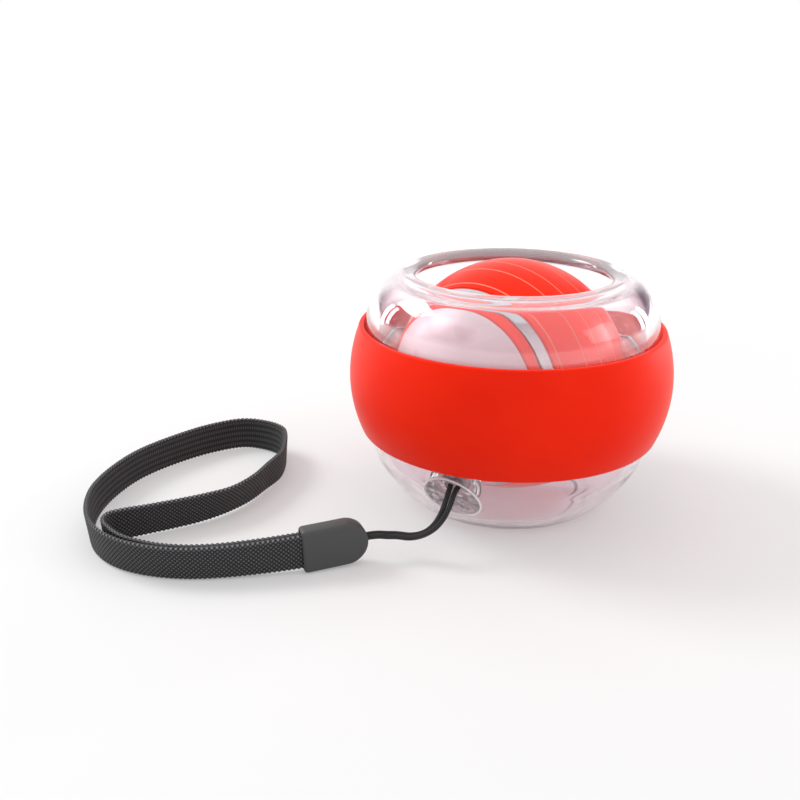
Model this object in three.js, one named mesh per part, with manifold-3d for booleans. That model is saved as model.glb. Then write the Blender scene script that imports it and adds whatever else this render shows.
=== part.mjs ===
// Gyroscopic wrist ball: two clear shells, a silicone grip, a spring-started rotor and a wrist strap.
// Millimetres, +Z up. The origin is the centre of the foot, on the surface that the ball stands on.
import * as THREE from 'three';
import { mergeVertices } from 'three/addons/utils/BufferGeometryUtils.js';
import Module from 'manifold-3d';

const wasm = await Module();
wasm.setup();

// Rotor, along its axle from the centre of the ball
const rotorRadius = 25;
const rotorClearance = 0.4;
const axleHeading = THREE.MathUtils.degToRad(41);
const domeDepth = 7.8;
const domeWall = 1.5;
const domeFlatRadius = 4.4;
const plateThickness = 1.5;
const ringFaceThickness = 1.7;
const grooveShares = [0.206, 0.519, 0.908];
const grooveWidth = 0.5;
const grooveDepth = 0.35;
const webThickness = 1.3;
const webClearance = 0.9;

// Ball, outside. Its radius is the rotor's and all that lies round it.
const floorClearance = 0.9;
const rotorProud = 1.9;
const footRadius = 18.9;
const footRimWidth = 2.7;
const footRecessDepth = 0.7;
const mouthRadius = 20.7;
const rimHalfWidth = 2.5;
const lipDrop = 1.2;
const bandAbove = 11.4;
const bandBelow = 11.6;
const bandTopDraw = 2.2;
const bandBottomDraw = 2.5;
const bandThickness = 1.3;
const bandEdgeThickness = 1;
const bandEdgeRound = 0.45;
const wall = 2.7;
const floorWall = 2.2;
const seatGap = 0.3;
const runningGap = 0.3;

// Race between the shells, and the ring in it
const lapWall = 0.85;
const lapReach = 1;
const raceDepth = 1.3;
const raceLedgeThickness = 1.9;
const ringThickness = 3.5;
const ringWall = 0.3;
const bushWall = 0.3;
const bushFlangeReach = 0.5;
const bushFlangeThickness = 0.6;

// Lanyard eye in the lower shell
const eyeProud = 0.55;
const eyeHeightShare = 0.721;
const eyeHeading = THREE.MathUtils.degToRad(27);
const eyeTilt = THREE.MathUtils.degToRad(28.2);
const eyeBossHalfWidth = 5.6;
const eyeBossHalfHeight = 4.6;
const eyeBossSetback = 1.6;
const eyeFloor = 1.9;
const dishHeightShare = 0.616;
const dishHeading = THREE.MathUtils.degToRad(28.1);
const dishTilt = THREE.MathUtils.degToRad(27.5);
const dishRoll = THREE.MathUtils.degToRad(-27.6);
const dishHalfWidth = 7.2;
const dishHalfHeight = 6.1;
const dishDepth = 1.3;
const throatWidth = 3.6;
const throatHeight = 2.4;
const chamberStart = 2.2;
const chamberWidth = 5.2;
const chamberDepth = 3.9;
const eyePinRadius = 0.6;
const eyePinSetback = 1.4;

// Axle, bearings and clips
const axleRadius = 2;
const journalRadius = 1;
const axleTipRound = 0.3;
const bearingLength = 3;
const bearingLip = 0.3;
const innerRaceThickness = 1;
const outerRaceThickness = 1;
const bearingBallRadius = 0.55;
const bearingBallCount = 7;
const cageThickness = 0.5;
const bearingBossWall = 1;
const clipThickness = 0.6;
const clipWidth = 1.3;

// Start spring, arbor and one-way clutch
const arborRadius = 6.4;
const arborClearance = 0.7;
const rollerRadius = 0.8;
const rollerSetback = 0.4;
const rollerCount = 5;
const rampShare = 0.8;
const rampAngle = THREE.MathUtils.degToRad(22);
const springThickness = 0.45;
const springWidth = 5;
const springSideRoom = 0.5;
const springTurns = 5;

// Rotor screws
const screwCount = 3;
const screwShankRadius = 0.9;
const screwHeadRadius = 1.9;
const screwHeadHeight = 1.2;
const screwHeadRoom = 0.9;
const screwDepthShare = 0.525;
const driveSlotWidth = 0.5;
const driveSlotDepth = 0.5;

// Strap cap
const capLength = 13.3;
const capHeight = 9;
const capThickness = 3.6;
const capEdgeRound = 0.6;
const capHeading = THREE.MathUtils.degToRad(19);
const capTilt = THREE.MathUtils.degToRad(2.6);
const capStart = [-43.1, -36.4];
const restGap = 0.2;
const capMouthDepth = 3;
const capLayerGap = 0.3;
const capSocketDepth = 1.7;

// Webbing and cord
const strapWidth = 7.5;
const strapThickness = 0.9;
const strapChamfer = 0.25;
const strapLiftShares = [1, 1, 0.75, 0.35, 0.1];
const cordRadius = 0.55;
const cordSpacing = 1.2;

// Facets of round shapes
const ballFacets = 40;
const rotorFacets = 32;
const smallFacets = 16;
const cordSides = 8;
const shoulderSteps = 7;
const haunchSteps = 6;
const rimSteps = 5;
const insideSteps = 8;
const seatSteps = 3;
const domeSteps = 5;
const domeInnerSteps = 4;
const rimBandSteps = 2;
const capBevelSteps = 2;
const springStepsPerTurn = 16;
const strapSteps = 80;
const cordSteps = 38;
const bossSteps = 5;

const overrun = 1;
const mergeDistance = 1e-4;

const clear = new THREE.MeshStandardMaterial({
  color: 0xf1eef0, roughness: 0.05, metalness: 0, transparent: true, opacity: 0.35,
});
const silicone = new THREE.MeshStandardMaterial({ color: 0xf03a20, roughness: 0.5, metalness: 0 });
const redPlastic = new THREE.MeshStandardMaterial({ color: 0xf0320f, roughness: 0.35, metalness: 0 });
const whitePlastic = new THREE.MeshStandardMaterial({ color: 0xf0edee, roughness: 0.3, metalness: 0 });
const steel = new THREE.MeshStandardMaterial({ color: 0xb9bec2, roughness: 0.3, metalness: 1 });
const springSteel = new THREE.MeshStandardMaterial({ color: 0x6c7076, roughness: 0.35, metalness: 1 });
const brass = new THREE.MeshStandardMaterial({ color: 0xb5903c, roughness: 0.4, metalness: 1 });
const nylon = new THREE.MeshStandardMaterial({ color: 0xd9d6cc, roughness: 0.55, metalness: 0 });
const capPlastic = new THREE.MeshStandardMaterial({ color: 0x3f4043, roughness: 0.6, metalness: 0 });
const webbing = new THREE.MeshStandardMaterial({ color: 0x232325, roughness: 0.9, metalness: 0 });
const cordYarn = new THREE.MeshStandardMaterial({ color: 0x141416, roughness: 0.85, metalness: 0 });

function point(radius, height) {
  return new THREE.Vector2(radius, height);
}

// A copy of a geometry with its shared corners merged, as a solid that can be cut and joined.
function toSolid(geometry) {
  const bare = geometry.clone();
  bare.deleteAttribute('normal');
  bare.deleteAttribute('uv');
  const merged = mergeVertices(bare, mergeDistance);
  const index = merged.index.array;
  const corners = [];
  for (let i = 0; i < index.length; i += 3) {
    const [a, b, c] = [index[i], index[i + 1], index[i + 2]];
    if (a !== b && b !== c && c !== a) {
      corners.push(a, b, c);
    }
  }
  const mesh = new wasm.Mesh({
    numProp: 3,
    vertProperties: merged.attributes.position.array,
    triVerts: new Uint32Array(corners),
  });
  return new wasm.Manifold(mesh);
}

function toGeometry(solid) {
  const mesh = solid.getMesh();
  const geometry = new THREE.BufferGeometry();
  geometry.setAttribute('position', new THREE.BufferAttribute(mesh.vertProperties, 3));
  geometry.setIndex(new THREE.BufferAttribute(mesh.triVerts, 1));
  geometry.computeVertexNormals();
  return geometry;
}

function joined(...geometries) {
  return toGeometry(geometries.map(toSolid).reduce((whole, piece) => whole.add(piece)));
}

function cut(geometry, ...cutters) {
  const start = toSolid(geometry);
  return toGeometry(cutters.map(toSolid).reduce((whole, cutter) => whole.subtract(cutter), start));
}

// A turned shape about +Z. The outline runs from axis to axis, or round a section that misses the axis.
function turned(outline, facets) {
  const first = outline[0];
  const last = outline[outline.length - 1];
  const ring = first.x > 0 || last.x > 0;
  const points = THREE.ShapeUtils.area(outline) < 0 ? [...outline].reverse() : [...outline];
  if (ring) {
    points.push(points[0].clone());
  }
  return new THREE.LatheGeometry(points, facets).rotateX(Math.PI / 2);
}

// The same along +X, as the rotor's pieces lie.
function turnedAlong(outline, facets) {
  return turned(outline, facets).rotateY(Math.PI / 2);
}

// A round bar along +X from one distance to another.
function bar(radius, from, to, facets) {
  return turnedAlong([point(0, from), point(radius, from), point(radius, to), point(0, to)], facets);
}

function curveThrough(points, steps) {
  return new THREE.SplineCurve(points).getPoints(steps);
}

function meshOf(name, geometry, material) {
  const mesh = new THREE.Mesh(geometry, material);
  mesh.name = name;
  return mesh;
}

// From the rotor outwards: the ring with its bushes, the race, the shells' lap and the band.
const flangeInner = rotorRadius + rotorClearance;
const ringInnerRadius = flangeInner + bushFlangeThickness + seatGap;
const ringOuterRadius = ringInnerRadius + ringThickness;
const raceLedgeRadius = ringInnerRadius + seatGap;
const raceRadius = ringOuterRadius + runningGap + raceDepth;
const lapInner = raceRadius + lapWall;
const lapOuter = lapInner + seatGap;
const shellRadius = lapOuter + lapWall;
const ballRadius = shellRadius + seatGap + bandThickness;

// Radii and heights of the outline. Heights are measured from the middle of the ball.
const middleHeight = footRecessDepth + floorWall + floorClearance + rotorRadius;
const crest = rotorRadius - rotorProud;
const crestRadius = mouthRadius + rimHalfWidth;
const footRecessRadius = footRadius - footRimWidth;
const bandTop = bandAbove;
const bandBottom = -bandBelow;
const bandTopRadius = ballRadius - bandTopDraw;
const bandBottomRadius = ballRadius - bandBottomDraw;
const seatTopRadius = bandTopRadius - bandEdgeThickness - seatGap;
const seatBottomRadius = bandBottomRadius - bandEdgeThickness - seatGap;

// Heights of the race and of the ring in it.
const bushBore = journalRadius + runningGap;
const bushRadius = bushBore + bushWall;
const ringHole = bushRadius + seatGap;
const ringHalf = ringHole + ringWall;
const raceHalf = journalRadius + runningGap;
const channelHalf = ringHalf + runningGap;
const ledgeTop = channelHalf + raceLedgeThickness;

// Radius of a bulging side at a height: full at the middle, and its edge radius at the edge's height.
function bulge(full, edgeRadius, edgeHeight, height) {
  return full - (full - edgeRadius) * (height / edgeHeight) ** 2;
}

function bulgeCurve(full, edgeRadius, edgeHeight, from, to, steps) {
  const points = [];
  for (let i = 0; i <= steps; i += 1) {
    const height = THREE.MathUtils.lerp(from, to, i / steps);
    points.push(point(bulge(full, edgeRadius, edgeHeight, height), height));
  }
  return points;
}

// Points of the outline, as shares of the way out and of the way up or down.
const shoulderShares = [[0.92, 0.36], [0.7, 0.68], [0.37, 0.9]];
const haunchShares = [[0.84, 0.37], [0.5, 0.73], [0.25, 0.9]];
const shoulderInsideShares = [0.58, 0.54];
const haunchInsideShares = [0.68, 0.52];
const floorShare = 0.45;
const rimTopShare = 0.3;
const rimDropShare = 0.25;
const rimUndercutShare = 0.2;

// Outer side from the band's top edge over the shoulder to the crest of the rim.
function shoulderPoints() {
  const points = shoulderShares.map(([out, up]) => point(
    THREE.MathUtils.lerp(crestRadius, seatTopRadius, out),
    THREE.MathUtils.lerp(bandTop, crest, up),
  ));
  return curveThrough([point(seatTopRadius, bandTop), ...points, point(crestRadius, crest)], shoulderSteps);
}

// Outer side from the band's bottom edge down to the foot.
function haunchPoints() {
  const points = haunchShares.map(([out, down]) => point(
    THREE.MathUtils.lerp(footRadius, seatBottomRadius, out),
    THREE.MathUtils.lerp(bandBottom, -middleHeight, down),
  ));
  const [top, bottom] = [point(seatBottomRadius, bandBottom), point(footRadius, -middleHeight)];
  return curveThrough([top, ...points, bottom], haunchSteps);
}

// Radius of the haunch at a height.
function haunchRadiusAt(height) {
  const points = haunchPoints();
  const next = points.findIndex((p) => p.y <= height);
  const [above, below] = [points[next - 1], points[next]];
  return THREE.MathUtils.mapLinear(height, above.y, below.y, above.x, below.x);
}

function upperShell() {
  const seat = bulgeCurve(shellRadius, seatTopRadius, bandTop, -lapReach, bandTop, seatSteps);
  const lip = crest - lipDrop;
  const underRim = point(crestRadius, crest - wall - lipDrop / 2);
  const [insideOut, insideUp] = shoulderInsideShares;
  const insideRadius = THREE.MathUtils.lerp(crestRadius, seatTopRadius, insideOut) - wall / 2;
  const rim = curveThrough([
    point(crestRadius, crest),
    point(THREE.MathUtils.lerp(mouthRadius, crestRadius, rimTopShare), crest - lipDrop * rimDropShare),
    point(mouthRadius, lip),
    point(mouthRadius + lipDrop * rimUndercutShare, lip - lipDrop),
    underRim,
  ], rimSteps);
  const inside = curveThrough([
    underRim,
    point(insideRadius, THREE.MathUtils.lerp(bandTop, crest, insideUp)),
    point(seatTopRadius - wall, bandTop),
    point(shellRadius - wall, ledgeTop + wall),
    point(raceLedgeRadius + wall, ledgeTop + wall / 3),
    point(raceLedgeRadius, ledgeTop),
  ], insideSteps);
  const race = [
    point(raceLedgeRadius, channelHalf),
    point(ringOuterRadius + runningGap, channelHalf),
    point(ringOuterRadius + runningGap, raceHalf),
    point(lapOuter, raceHalf),
    point(lapOuter, -lapReach),
  ];
  const outline = [...seat, ...shoulderPoints().slice(1), ...rim.slice(1), ...inside.slice(1), ...race];
  return turned(outline, ballFacets);
}

// Places a shape on the haunch: +X goes along the surface, +Y up along it and +Z straight out of it.
function placeOnHaunch(geometry, heading, heightShare, tilt, proud = 0) {
  geometry.rotateX(Math.PI / 2 + tilt);
  const height = THREE.MathUtils.lerp(-middleHeight, bandBottom, heightShare);
  geometry.translate(0, -haunchRadiusAt(height) - proud, height);
  return geometry.rotateZ(-heading);
}

function placeInEye(geometry) {
  return placeOnHaunch(geometry, eyeHeading, eyeHeightShare, eyeTilt, eyeProud);
}

function eyeBox(width, height, from, to) {
  const box = new THREE.BoxGeometry(width, height, to - from);
  return box.translate(0, 0, -(from + to) / 2);
}

// The shallow oval dish that the cord comes out of.
function dish() {
  const bowl = new THREE.SphereGeometry(1, rotorFacets, rotorFacets / 2);
  bowl.scale(dishHalfWidth, dishHalfHeight, dishDepth).rotateZ(dishRoll);
  return placeOnHaunch(bowl, dishHeading, dishHeightShare, dishTilt);
}

// The cord's hole, and the chamber behind it with a pin across.
function eyeHollow() {
  const throat = eyeBox(throatWidth, throatHeight, 0, chamberStart + overrun);
  const chamber = eyeBox(chamberWidth, throatHeight, chamberStart, chamberStart + chamberDepth);
  const pinLength = throatHeight + overrun;
  const pin = new THREE.CylinderGeometry(eyePinRadius, eyePinRadius, pinLength, smallFacets / 2);
  pin.translate(0, 0, -chamberStart - eyePinSetback);
  return placeInEye(cut(joined(throat, chamber), pin));
}

// Domed inner wall round the chamber.
function eyeBoss() {
  const reach = chamberStart + chamberDepth + eyeFloor - eyeBossSetback;
  const dome = [];
  for (let i = 0; i < bossSteps; i += 1) {
    const angle = (i / bossSteps) * Math.PI / 2;
    dome.push(point(Math.cos(angle), -eyeBossSetback - reach * Math.sin(angle)));
  }
  const tip = point(0, -eyeBossSetback - reach);
  const boss = turned([point(0, -eyeBossSetback), ...dome, tip], smallFacets);
  return placeInEye(boss.scale(eyeBossHalfWidth, eyeBossHalfHeight, 1));
}

function lowerShell() {
  const seat = bulgeCurve(shellRadius, seatBottomRadius, bandBottom, -raceHalf, bandBottom, seatSteps);
  const recess = footRecessDepth - middleHeight;
  const floor = recess + floorWall;
  const foot = [
    point(footRecessRadius + footRecessDepth, -middleHeight),
    point(footRecessRadius, recess),
    point(0, recess),
  ];
  const [insideOut, insideDown] = haunchInsideShares;
  const insideRadius = THREE.MathUtils.lerp(footRadius, seatBottomRadius, insideOut) - wall / 2;
  const inside = curveThrough([
    point(footRecessRadius * floorShare, floor),
    point(footRadius - wall / 2, floor + floorWall / 2),
    point(insideRadius, THREE.MathUtils.lerp(bandBottom, floor, insideDown)),
    point(seatBottomRadius - wall, bandBottom),
    point(shellRadius - wall, -ledgeTop - wall),
    point(raceLedgeRadius + wall, -ledgeTop - wall / 3),
    point(raceLedgeRadius, -ledgeTop),
  ], insideSteps);
  const race = [
    point(raceLedgeRadius, -channelHalf),
    point(ringOuterRadius + runningGap, -channelHalf),
    point(ringOuterRadius + runningGap, -raceHalf),
    point(raceRadius, -raceHalf),
    point(raceRadius, lapReach),
    point(lapInner, lapReach),
    point(lapInner, -raceHalf),
  ];
  const down = [...seat, ...haunchPoints().slice(1), ...foot];
  const outline = [point(0, floor), ...inside, ...race, ...down];
  return cut(joined(turned(outline, ballFacets), eyeBoss()), dish(), eyeHollow());
}

function gripBand() {
  const inner = [
    ...bulgeCurve(shellRadius, seatBottomRadius, bandBottom, bandBottom, 0, seatSteps),
    ...bulgeCurve(shellRadius, seatTopRadius, bandTop, 0, bandTop, seatSteps).slice(1),
  ].map((p) => point(p.x + seatGap, p.y));
  const outerTop = bandTop - bandEdgeRound;
  const outerBottom = bandBottom + bandEdgeRound;
  const outer = [
    ...bulgeCurve(ballRadius, bandTopRadius, bandTop, outerTop, 0, seatSteps),
    ...bulgeCurve(ballRadius, bandBottomRadius, bandBottom, 0, outerBottom, seatSteps).slice(1),
  ];
  const top = point(bandTopRadius - bandEdgeRound, bandTop);
  const bottom = point(bandBottomRadius - bandEdgeRound, bandBottom);
  return turned([...inner, top, ...outer, bottom], ballFacets);
}

// Rotor pieces, along +X. A side is 1 for the left end and -1 for the right end.
const sides = { left: 1, right: -1 };

// From the dome inwards along the axle.
const domeStart = rotorRadius - domeDepth;
const plateEnd = domeStart - seatGap;
const plateStart = plateEnd - plateThickness;
const ringFaceEnd = plateStart - seatGap;
const ringFaceStart = ringFaceEnd - ringFaceThickness;
const drumHalfLength = ringFaceStart - seatGap;
const bearingEnd = plateEnd - bearingLip - seatGap;
const bearingStart = bearingEnd - bearingLength;
const clipStart = bearingEnd + seatGap;

// From the middle outwards along the axle.
const arborHalf = springWidth / 2 + springSideRoom;
const coverStart = arborHalf + 2 * seatGap;
const coverEnd = coverStart + webThickness;
const barrelStart = coverEnd + seatGap;

// From the axle outwards: the bearing, its boss in the side plate, and the weight ring.
const bearingBore = axleRadius + seatGap;
const innerRaceOuter = bearingBore + innerRaceThickness;
const outerRaceInner = innerRaceOuter + 2 * (bearingBallRadius + seatGap);
const bearingRadius = outerRaceInner + outerRaceThickness;
const bearingSeat = bearingRadius + seatGap;
const bossRadius = bearingSeat + bearingBossWall;
const weightBore = bossRadius + seatGap;
const clipRadius = bearingBore + clipWidth;
const webBore = arborRadius + webClearance;

// The screws' heads fit under the dome, and the weight ring reaches as far outside the screws as inside.
const screwHeadTop = domeStart + screwHeadHeight;
const screwEnd = THREE.MathUtils.lerp(ringFaceEnd, barrelStart, screwDepthShare);
const screwCircle = sphereRadiusAt(screwHeadTop, rotorRadius - domeWall) - screwHeadRadius - screwHeadRoom;
const barrelRadius = 2 * screwCircle - weightBore;
const drumBore = barrelRadius + seatGap;

function sphereRadiusAt(distance, radius = rotorRadius) {
  return Math.sqrt(radius ** 2 - distance ** 2);
}

function sphereCurve(from, to, steps, radius = rotorRadius) {
  const points = [];
  for (let i = 0; i <= steps; i += 1) {
    const distance = THREE.MathUtils.lerp(from, to, i / steps);
    points.push(point(sphereRadiusAt(distance, radius), distance));
  }
  return points;
}

// The piece as drawn for the left end, or turned half round for the right end.
function forSide(geometry, side) {
  return side > 0 ? geometry : geometry.rotateZ(Math.PI);
}

function grooveNotch(offset) {
  const [from, to] = [offset - grooveWidth / 2, offset + grooveWidth / 2];
  return [
    point(sphereRadiusAt(from), from),
    point(sphereRadiusAt(offset) - grooveDepth, offset),
    point(sphereRadiusAt(to), to),
  ];
}

function rotorDrum() {
  const right = grooveShares.map((share) => share * drumHalfLength);
  const offsets = [...right.map((offset) => -offset).reverse(), ...right];
  const outside = [point(sphereRadiusAt(drumHalfLength), -drumHalfLength)];
  let from = -drumHalfLength;
  for (const offset of offsets) {
    const to = offset - grooveWidth / 2;
    outside.push(...sphereCurve(from, to, rimBandSteps).slice(1, -1), ...grooveNotch(offset));
    from = offset + grooveWidth / 2;
  }
  outside.push(point(sphereRadiusAt(drumHalfLength), drumHalfLength));
  const inside = [
    point(drumBore, drumHalfLength),
    point(drumBore, -coverStart),
    point(webBore, -coverStart),
    point(webBore, -coverEnd),
    point(drumBore, -coverEnd),
    point(drumBore, -drumHalfLength),
  ];
  return turnedAlong([...outside, ...inside], rotorFacets);
}

function screwHoles(radius, from, to, side) {
  const hole = bar(radius, from, to, smallFacets / 2);
  return screwPlaces().map(([y, z]) => forSide(hole.clone().translate(0, y, z), side));
}

function screwPlaces() {
  const places = [];
  for (let i = 0; i < screwCount; i += 1) {
    const angle = (i / screwCount) * Math.PI * 2;
    places.push([screwCircle * Math.cos(angle), screwCircle * Math.sin(angle)]);
  }
  return places;
}

function weightRing(side) {
  const outline = [
    point(weightBore, barrelStart),
    point(barrelRadius, barrelStart),
    point(barrelRadius, ringFaceStart),
    ...sphereCurve(ringFaceStart, ringFaceEnd, rimBandSteps),
    point(weightBore, ringFaceEnd),
  ];
  const holes = screwHoles(screwShankRadius + seatGap, screwEnd - seatGap, plateEnd, side);
  return cut(forSide(turnedAlong(outline, rotorFacets), side), ...holes);
}

function sidePlate(side) {
  const outline = [
    ...sphereCurve(plateStart, plateEnd, rimBandSteps).reverse(),
    point(bossRadius, plateStart),
    point(bossRadius, bearingStart),
    point(bearingSeat, bearingStart),
    point(bearingSeat, bearingEnd + seatGap),
    point(clipRadius + seatGap, bearingEnd + seatGap),
    point(clipRadius + seatGap, plateEnd),
  ];
  const hole = screwShankRadius + seatGap;
  return cut(
    forSide(turnedAlong(outline, rotorFacets), side),
    ...screwHoles(hole, plateStart - overrun, plateEnd + overrun, side),
  );
}

function endCap(side) {
  const flat = sphereRadiusAt(domeFlatRadius);
  const inner = rotorRadius - domeWall;
  const hole = axleRadius + runningGap;
  const innerFlat = flat - domeWall;
  const outline = [
    ...sphereCurve(domeStart, flat, domeSteps),
    point(hole, flat),
    point(hole, innerFlat),
    ...sphereCurve(domeStart, innerFlat, domeInnerSteps, inner).reverse(),
  ];
  return forSide(turnedAlong(outline, rotorFacets), side);
}

function rotorScrew(side, index) {
  const [y, z] = screwPlaces()[index];
  const head = bar(screwHeadRadius, domeStart, screwHeadTop, smallFacets / 2);
  const shank = bar(screwShankRadius, screwEnd, domeStart + screwHeadHeight / 2, smallFacets / 2);
  const slot = new THREE.BoxGeometry(driveSlotDepth * 2, screwHeadRadius * 2 + overrun, driveSlotWidth);
  slot.translate(screwHeadTop, 0, 0);
  return forSide(cut(joined(head, shank), slot).translate(0, y, z), side);
}

function bearingRing(inner, outer, side) {
  const outline = [
    point(inner, bearingStart),
    point(outer, bearingStart),
    point(outer, bearingEnd),
    point(inner, bearingEnd),
  ];
  return forSide(turnedAlong(outline, smallFacets), side);
}

function bearingCage(side) {
  const circle = (innerRaceOuter + outerRaceInner) / 2;
  const middle = (bearingStart + bearingEnd) / 2;
  const ring = turnedAlong([
    point(circle - cageThickness / 2, middle - bearingBallRadius),
    point(circle + cageThickness / 2, middle - bearingBallRadius),
    point(circle + cageThickness / 2, middle + bearingBallRadius),
    point(circle - cageThickness / 2, middle + bearingBallRadius),
  ], smallFacets);
  const balls = [];
  for (let i = 0; i < bearingBallCount; i += 1) {
    const angle = (i / bearingBallCount) * Math.PI * 2;
    const ball = new THREE.IcosahedronGeometry(bearingBallRadius);
    balls.push(ball.translate(middle, circle * Math.cos(angle), circle * Math.sin(angle)));
  }
  return forSide(joined(ring, ...balls), side);
}

function axle() {
  const axleHalfLength = raceRadius - runningGap;
  const axleShoulder = flangeInner - runningGap;
  const half = [
    point(0, axleHalfLength),
    point(journalRadius - axleTipRound, axleHalfLength),
    point(journalRadius, axleHalfLength - axleTipRound),
    point(journalRadius, axleShoulder),
    point(axleRadius, axleShoulder),
  ];
  const otherHalf = half.map((p) => point(p.x, -p.y)).reverse();
  return turnedAlong([...half, ...otherHalf], smallFacets);
}

function retainingClip(side) {
  const outline = [
    point(bearingBore, clipStart),
    point(clipRadius, clipStart),
    point(clipRadius, clipStart + clipThickness),
    point(bearingBore, clipStart + clipThickness),
  ];
  return forSide(turnedAlong(outline, smallFacets), side);
}

// Clutch: each roller lies in a pocket of the arbor that narrows one way round.
const rollerCircle = axleRadius + runningGap + rollerRadius;
const pocketRadius = rollerRadius + runningGap;

function rollerAngle(index) {
  return (index / rollerCount) * Math.PI * 2;
}

function springArbor() {
  const arborBore = axleRadius + arborClearance;
  const sleeve = turnedAlong([
    point(arborBore, -arborHalf),
    point(arborRadius, -arborHalf),
    point(arborRadius, arborHalf),
    point(arborBore, arborHalf),
  ], rotorFacets);
  const pockets = [];
  for (let i = 0; i < rollerCount; i += 1) {
    for (const [radius, turn] of [[pocketRadius, 0], [pocketRadius * rampShare, rampAngle]]) {
      const angle = rollerAngle(i) + turn;
      const pocket = bar(radius, -arborHalf - overrun, arborHalf + overrun, smallFacets / 2);
      pockets.push(pocket.translate(0, rollerCircle * Math.cos(angle), rollerCircle * Math.sin(angle)));
    }
  }
  return cut(sleeve, ...pockets);
}

function clutchRoller(index) {
  const rollerHalf = arborHalf - rollerSetback;
  const roller = bar(rollerRadius, -rollerHalf, rollerHalf, smallFacets / 2);
  const angle = rollerAngle(index);
  return roller.translate(0, rollerCircle * Math.cos(angle), rollerCircle * Math.sin(angle));
}

// Flat spiral strip between the arbor and the wall of the drum's bore.
function startSpring() {
  const innerRadius = arborRadius + seatGap + springThickness / 2;
  const outerRadius = drumBore - seatGap - springThickness / 2;
  const steps = springTurns * springStepsPerTurn;
  const inner = [];
  const outer = [];
  for (let i = 0; i <= steps; i += 1) {
    const angle = (i / springStepsPerTurn) * Math.PI * 2;
    const radius = THREE.MathUtils.lerp(innerRadius, outerRadius, i / steps);
    const [a, b] = [radius - springThickness / 2, radius + springThickness / 2];
    inner.push(point(a * Math.cos(angle), a * Math.sin(angle)));
    outer.push(point(b * Math.cos(angle), b * Math.sin(angle)));
  }
  const strip = new THREE.Shape([...outer, ...inner.reverse()]);
  const geometry = new THREE.ExtrudeGeometry(strip, { depth: springWidth, bevelEnabled: false });
  return geometry.translate(0, 0, -springWidth / 2).rotateY(Math.PI / 2);
}

function springCover() {
  const outline = [
    point(webBore, coverStart),
    point(barrelRadius, coverStart),
    point(barrelRadius, coverEnd),
    point(webBore, coverEnd),
  ];
  return turnedAlong(outline, rotorFacets);
}

function gimbalRing() {
  const ring = turned([
    point(ringInnerRadius, -ringHalf),
    point(ringOuterRadius, -ringHalf),
    point(ringOuterRadius, ringHalf),
    point(ringInnerRadius, ringHalf),
  ], ballFacets);
  const hole = bar(ringHole, -ballRadius, ballRadius, smallFacets);
  return cut(ring, hole);
}

function axleBush(side) {
  const flangeRadius = bushRadius + bushFlangeReach;
  const outline = [
    point(bushBore, flangeInner),
    point(flangeRadius, flangeInner),
    point(flangeRadius, flangeInner + bushFlangeThickness),
    point(bushRadius, flangeInner + bushFlangeThickness),
    point(bushRadius, ringOuterRadius - seatGap),
    point(bushBore, ringOuterRadius - seatGap),
  ];
  return forSide(turnedAlong(outline, smallFacets), side);
}

// Strap cap: a plate on edge with a round right end, drawn along +X from its mouth.
function strapCap() {
  const radius = capHeight / 2 - capEdgeRound;
  const low = capEdgeRound;
  const length = capLength - capEdgeRound;
  const outline = new THREE.Shape();
  outline.moveTo(low, -radius);
  outline.lineTo(length - radius, -radius);
  outline.absarc(length - radius, 0, radius, -Math.PI / 2, Math.PI / 2, false);
  outline.lineTo(low, radius);
  const plate = new THREE.ExtrudeGeometry(outline, {
    depth: capThickness - 2 * capEdgeRound,
    bevelSize: capEdgeRound,
    bevelThickness: capEdgeRound,
    bevelSegments: capBevelSteps,
    curveSegments: smallFacets / 2,
  });
  plate.translate(0, 0, capEdgeRound - capThickness / 2).rotateX(Math.PI / 2);
  const mouth = new THREE.BoxGeometry(
    capMouthDepth * 2,
    2 * strapThickness + capLayerGap + 2 * seatGap,
    strapWidth + 2 * seatGap,
  );
  const socket = new THREE.BoxGeometry(
    capSocketDepth * 2,
    cordSpacing + 2 * cordRadius + 2 * seatGap,
    2 * cordRadius + 2 * seatGap,
  );
  return cut(plate, mouth, socket.translate(capLength, 0, 0));
}

// Routes, chosen by hand. Webbing: middle of the strip, seen from above, out of the cap's mouth and back.
const strapRoute = [
  [-40.44, -36.14], [-43.37, -37.15], [-48.2, -38.35], [-53.8, -39.3], [-59.2, -39.95], [-64.5, -40.25],
  [-69.6, -39.75], [-74.5, -38.4], [-79, -36.2], [-82.8, -33.1], [-85.9, -29], [-88, -24.2],
  [-89.3, -19], [-89.8, -13], [-88.6, -4.4], [-85.1, 5.3], [-78.5, 14.3], [-70.7, 21.5],
  [-63.4, 24.9], [-57.3, 23.2], [-53.6, 20], [-52.2, 16], [-51.8, 10.9], [-52.2, 5.1],
  [-54.5, -1], [-57.2, -7.6], [-61, -13], [-65.9, -16.8], [-71.5, -19.9], [-76.8, -22.4],
  [-81, -24.4], [-83.1, -26], [-83.6, -28], [-82.7, -29.8], [-80.78, -31.16], [-77.44, -33.76],
  [-73.46, -35.64], [-69.1, -37.05], [-64.47, -38.5], [-59.31, -38.7], [-53.97, -38.11], [-48.44, -37.17],
  [-43.7, -36], [-40.83, -35.01],
];

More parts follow.
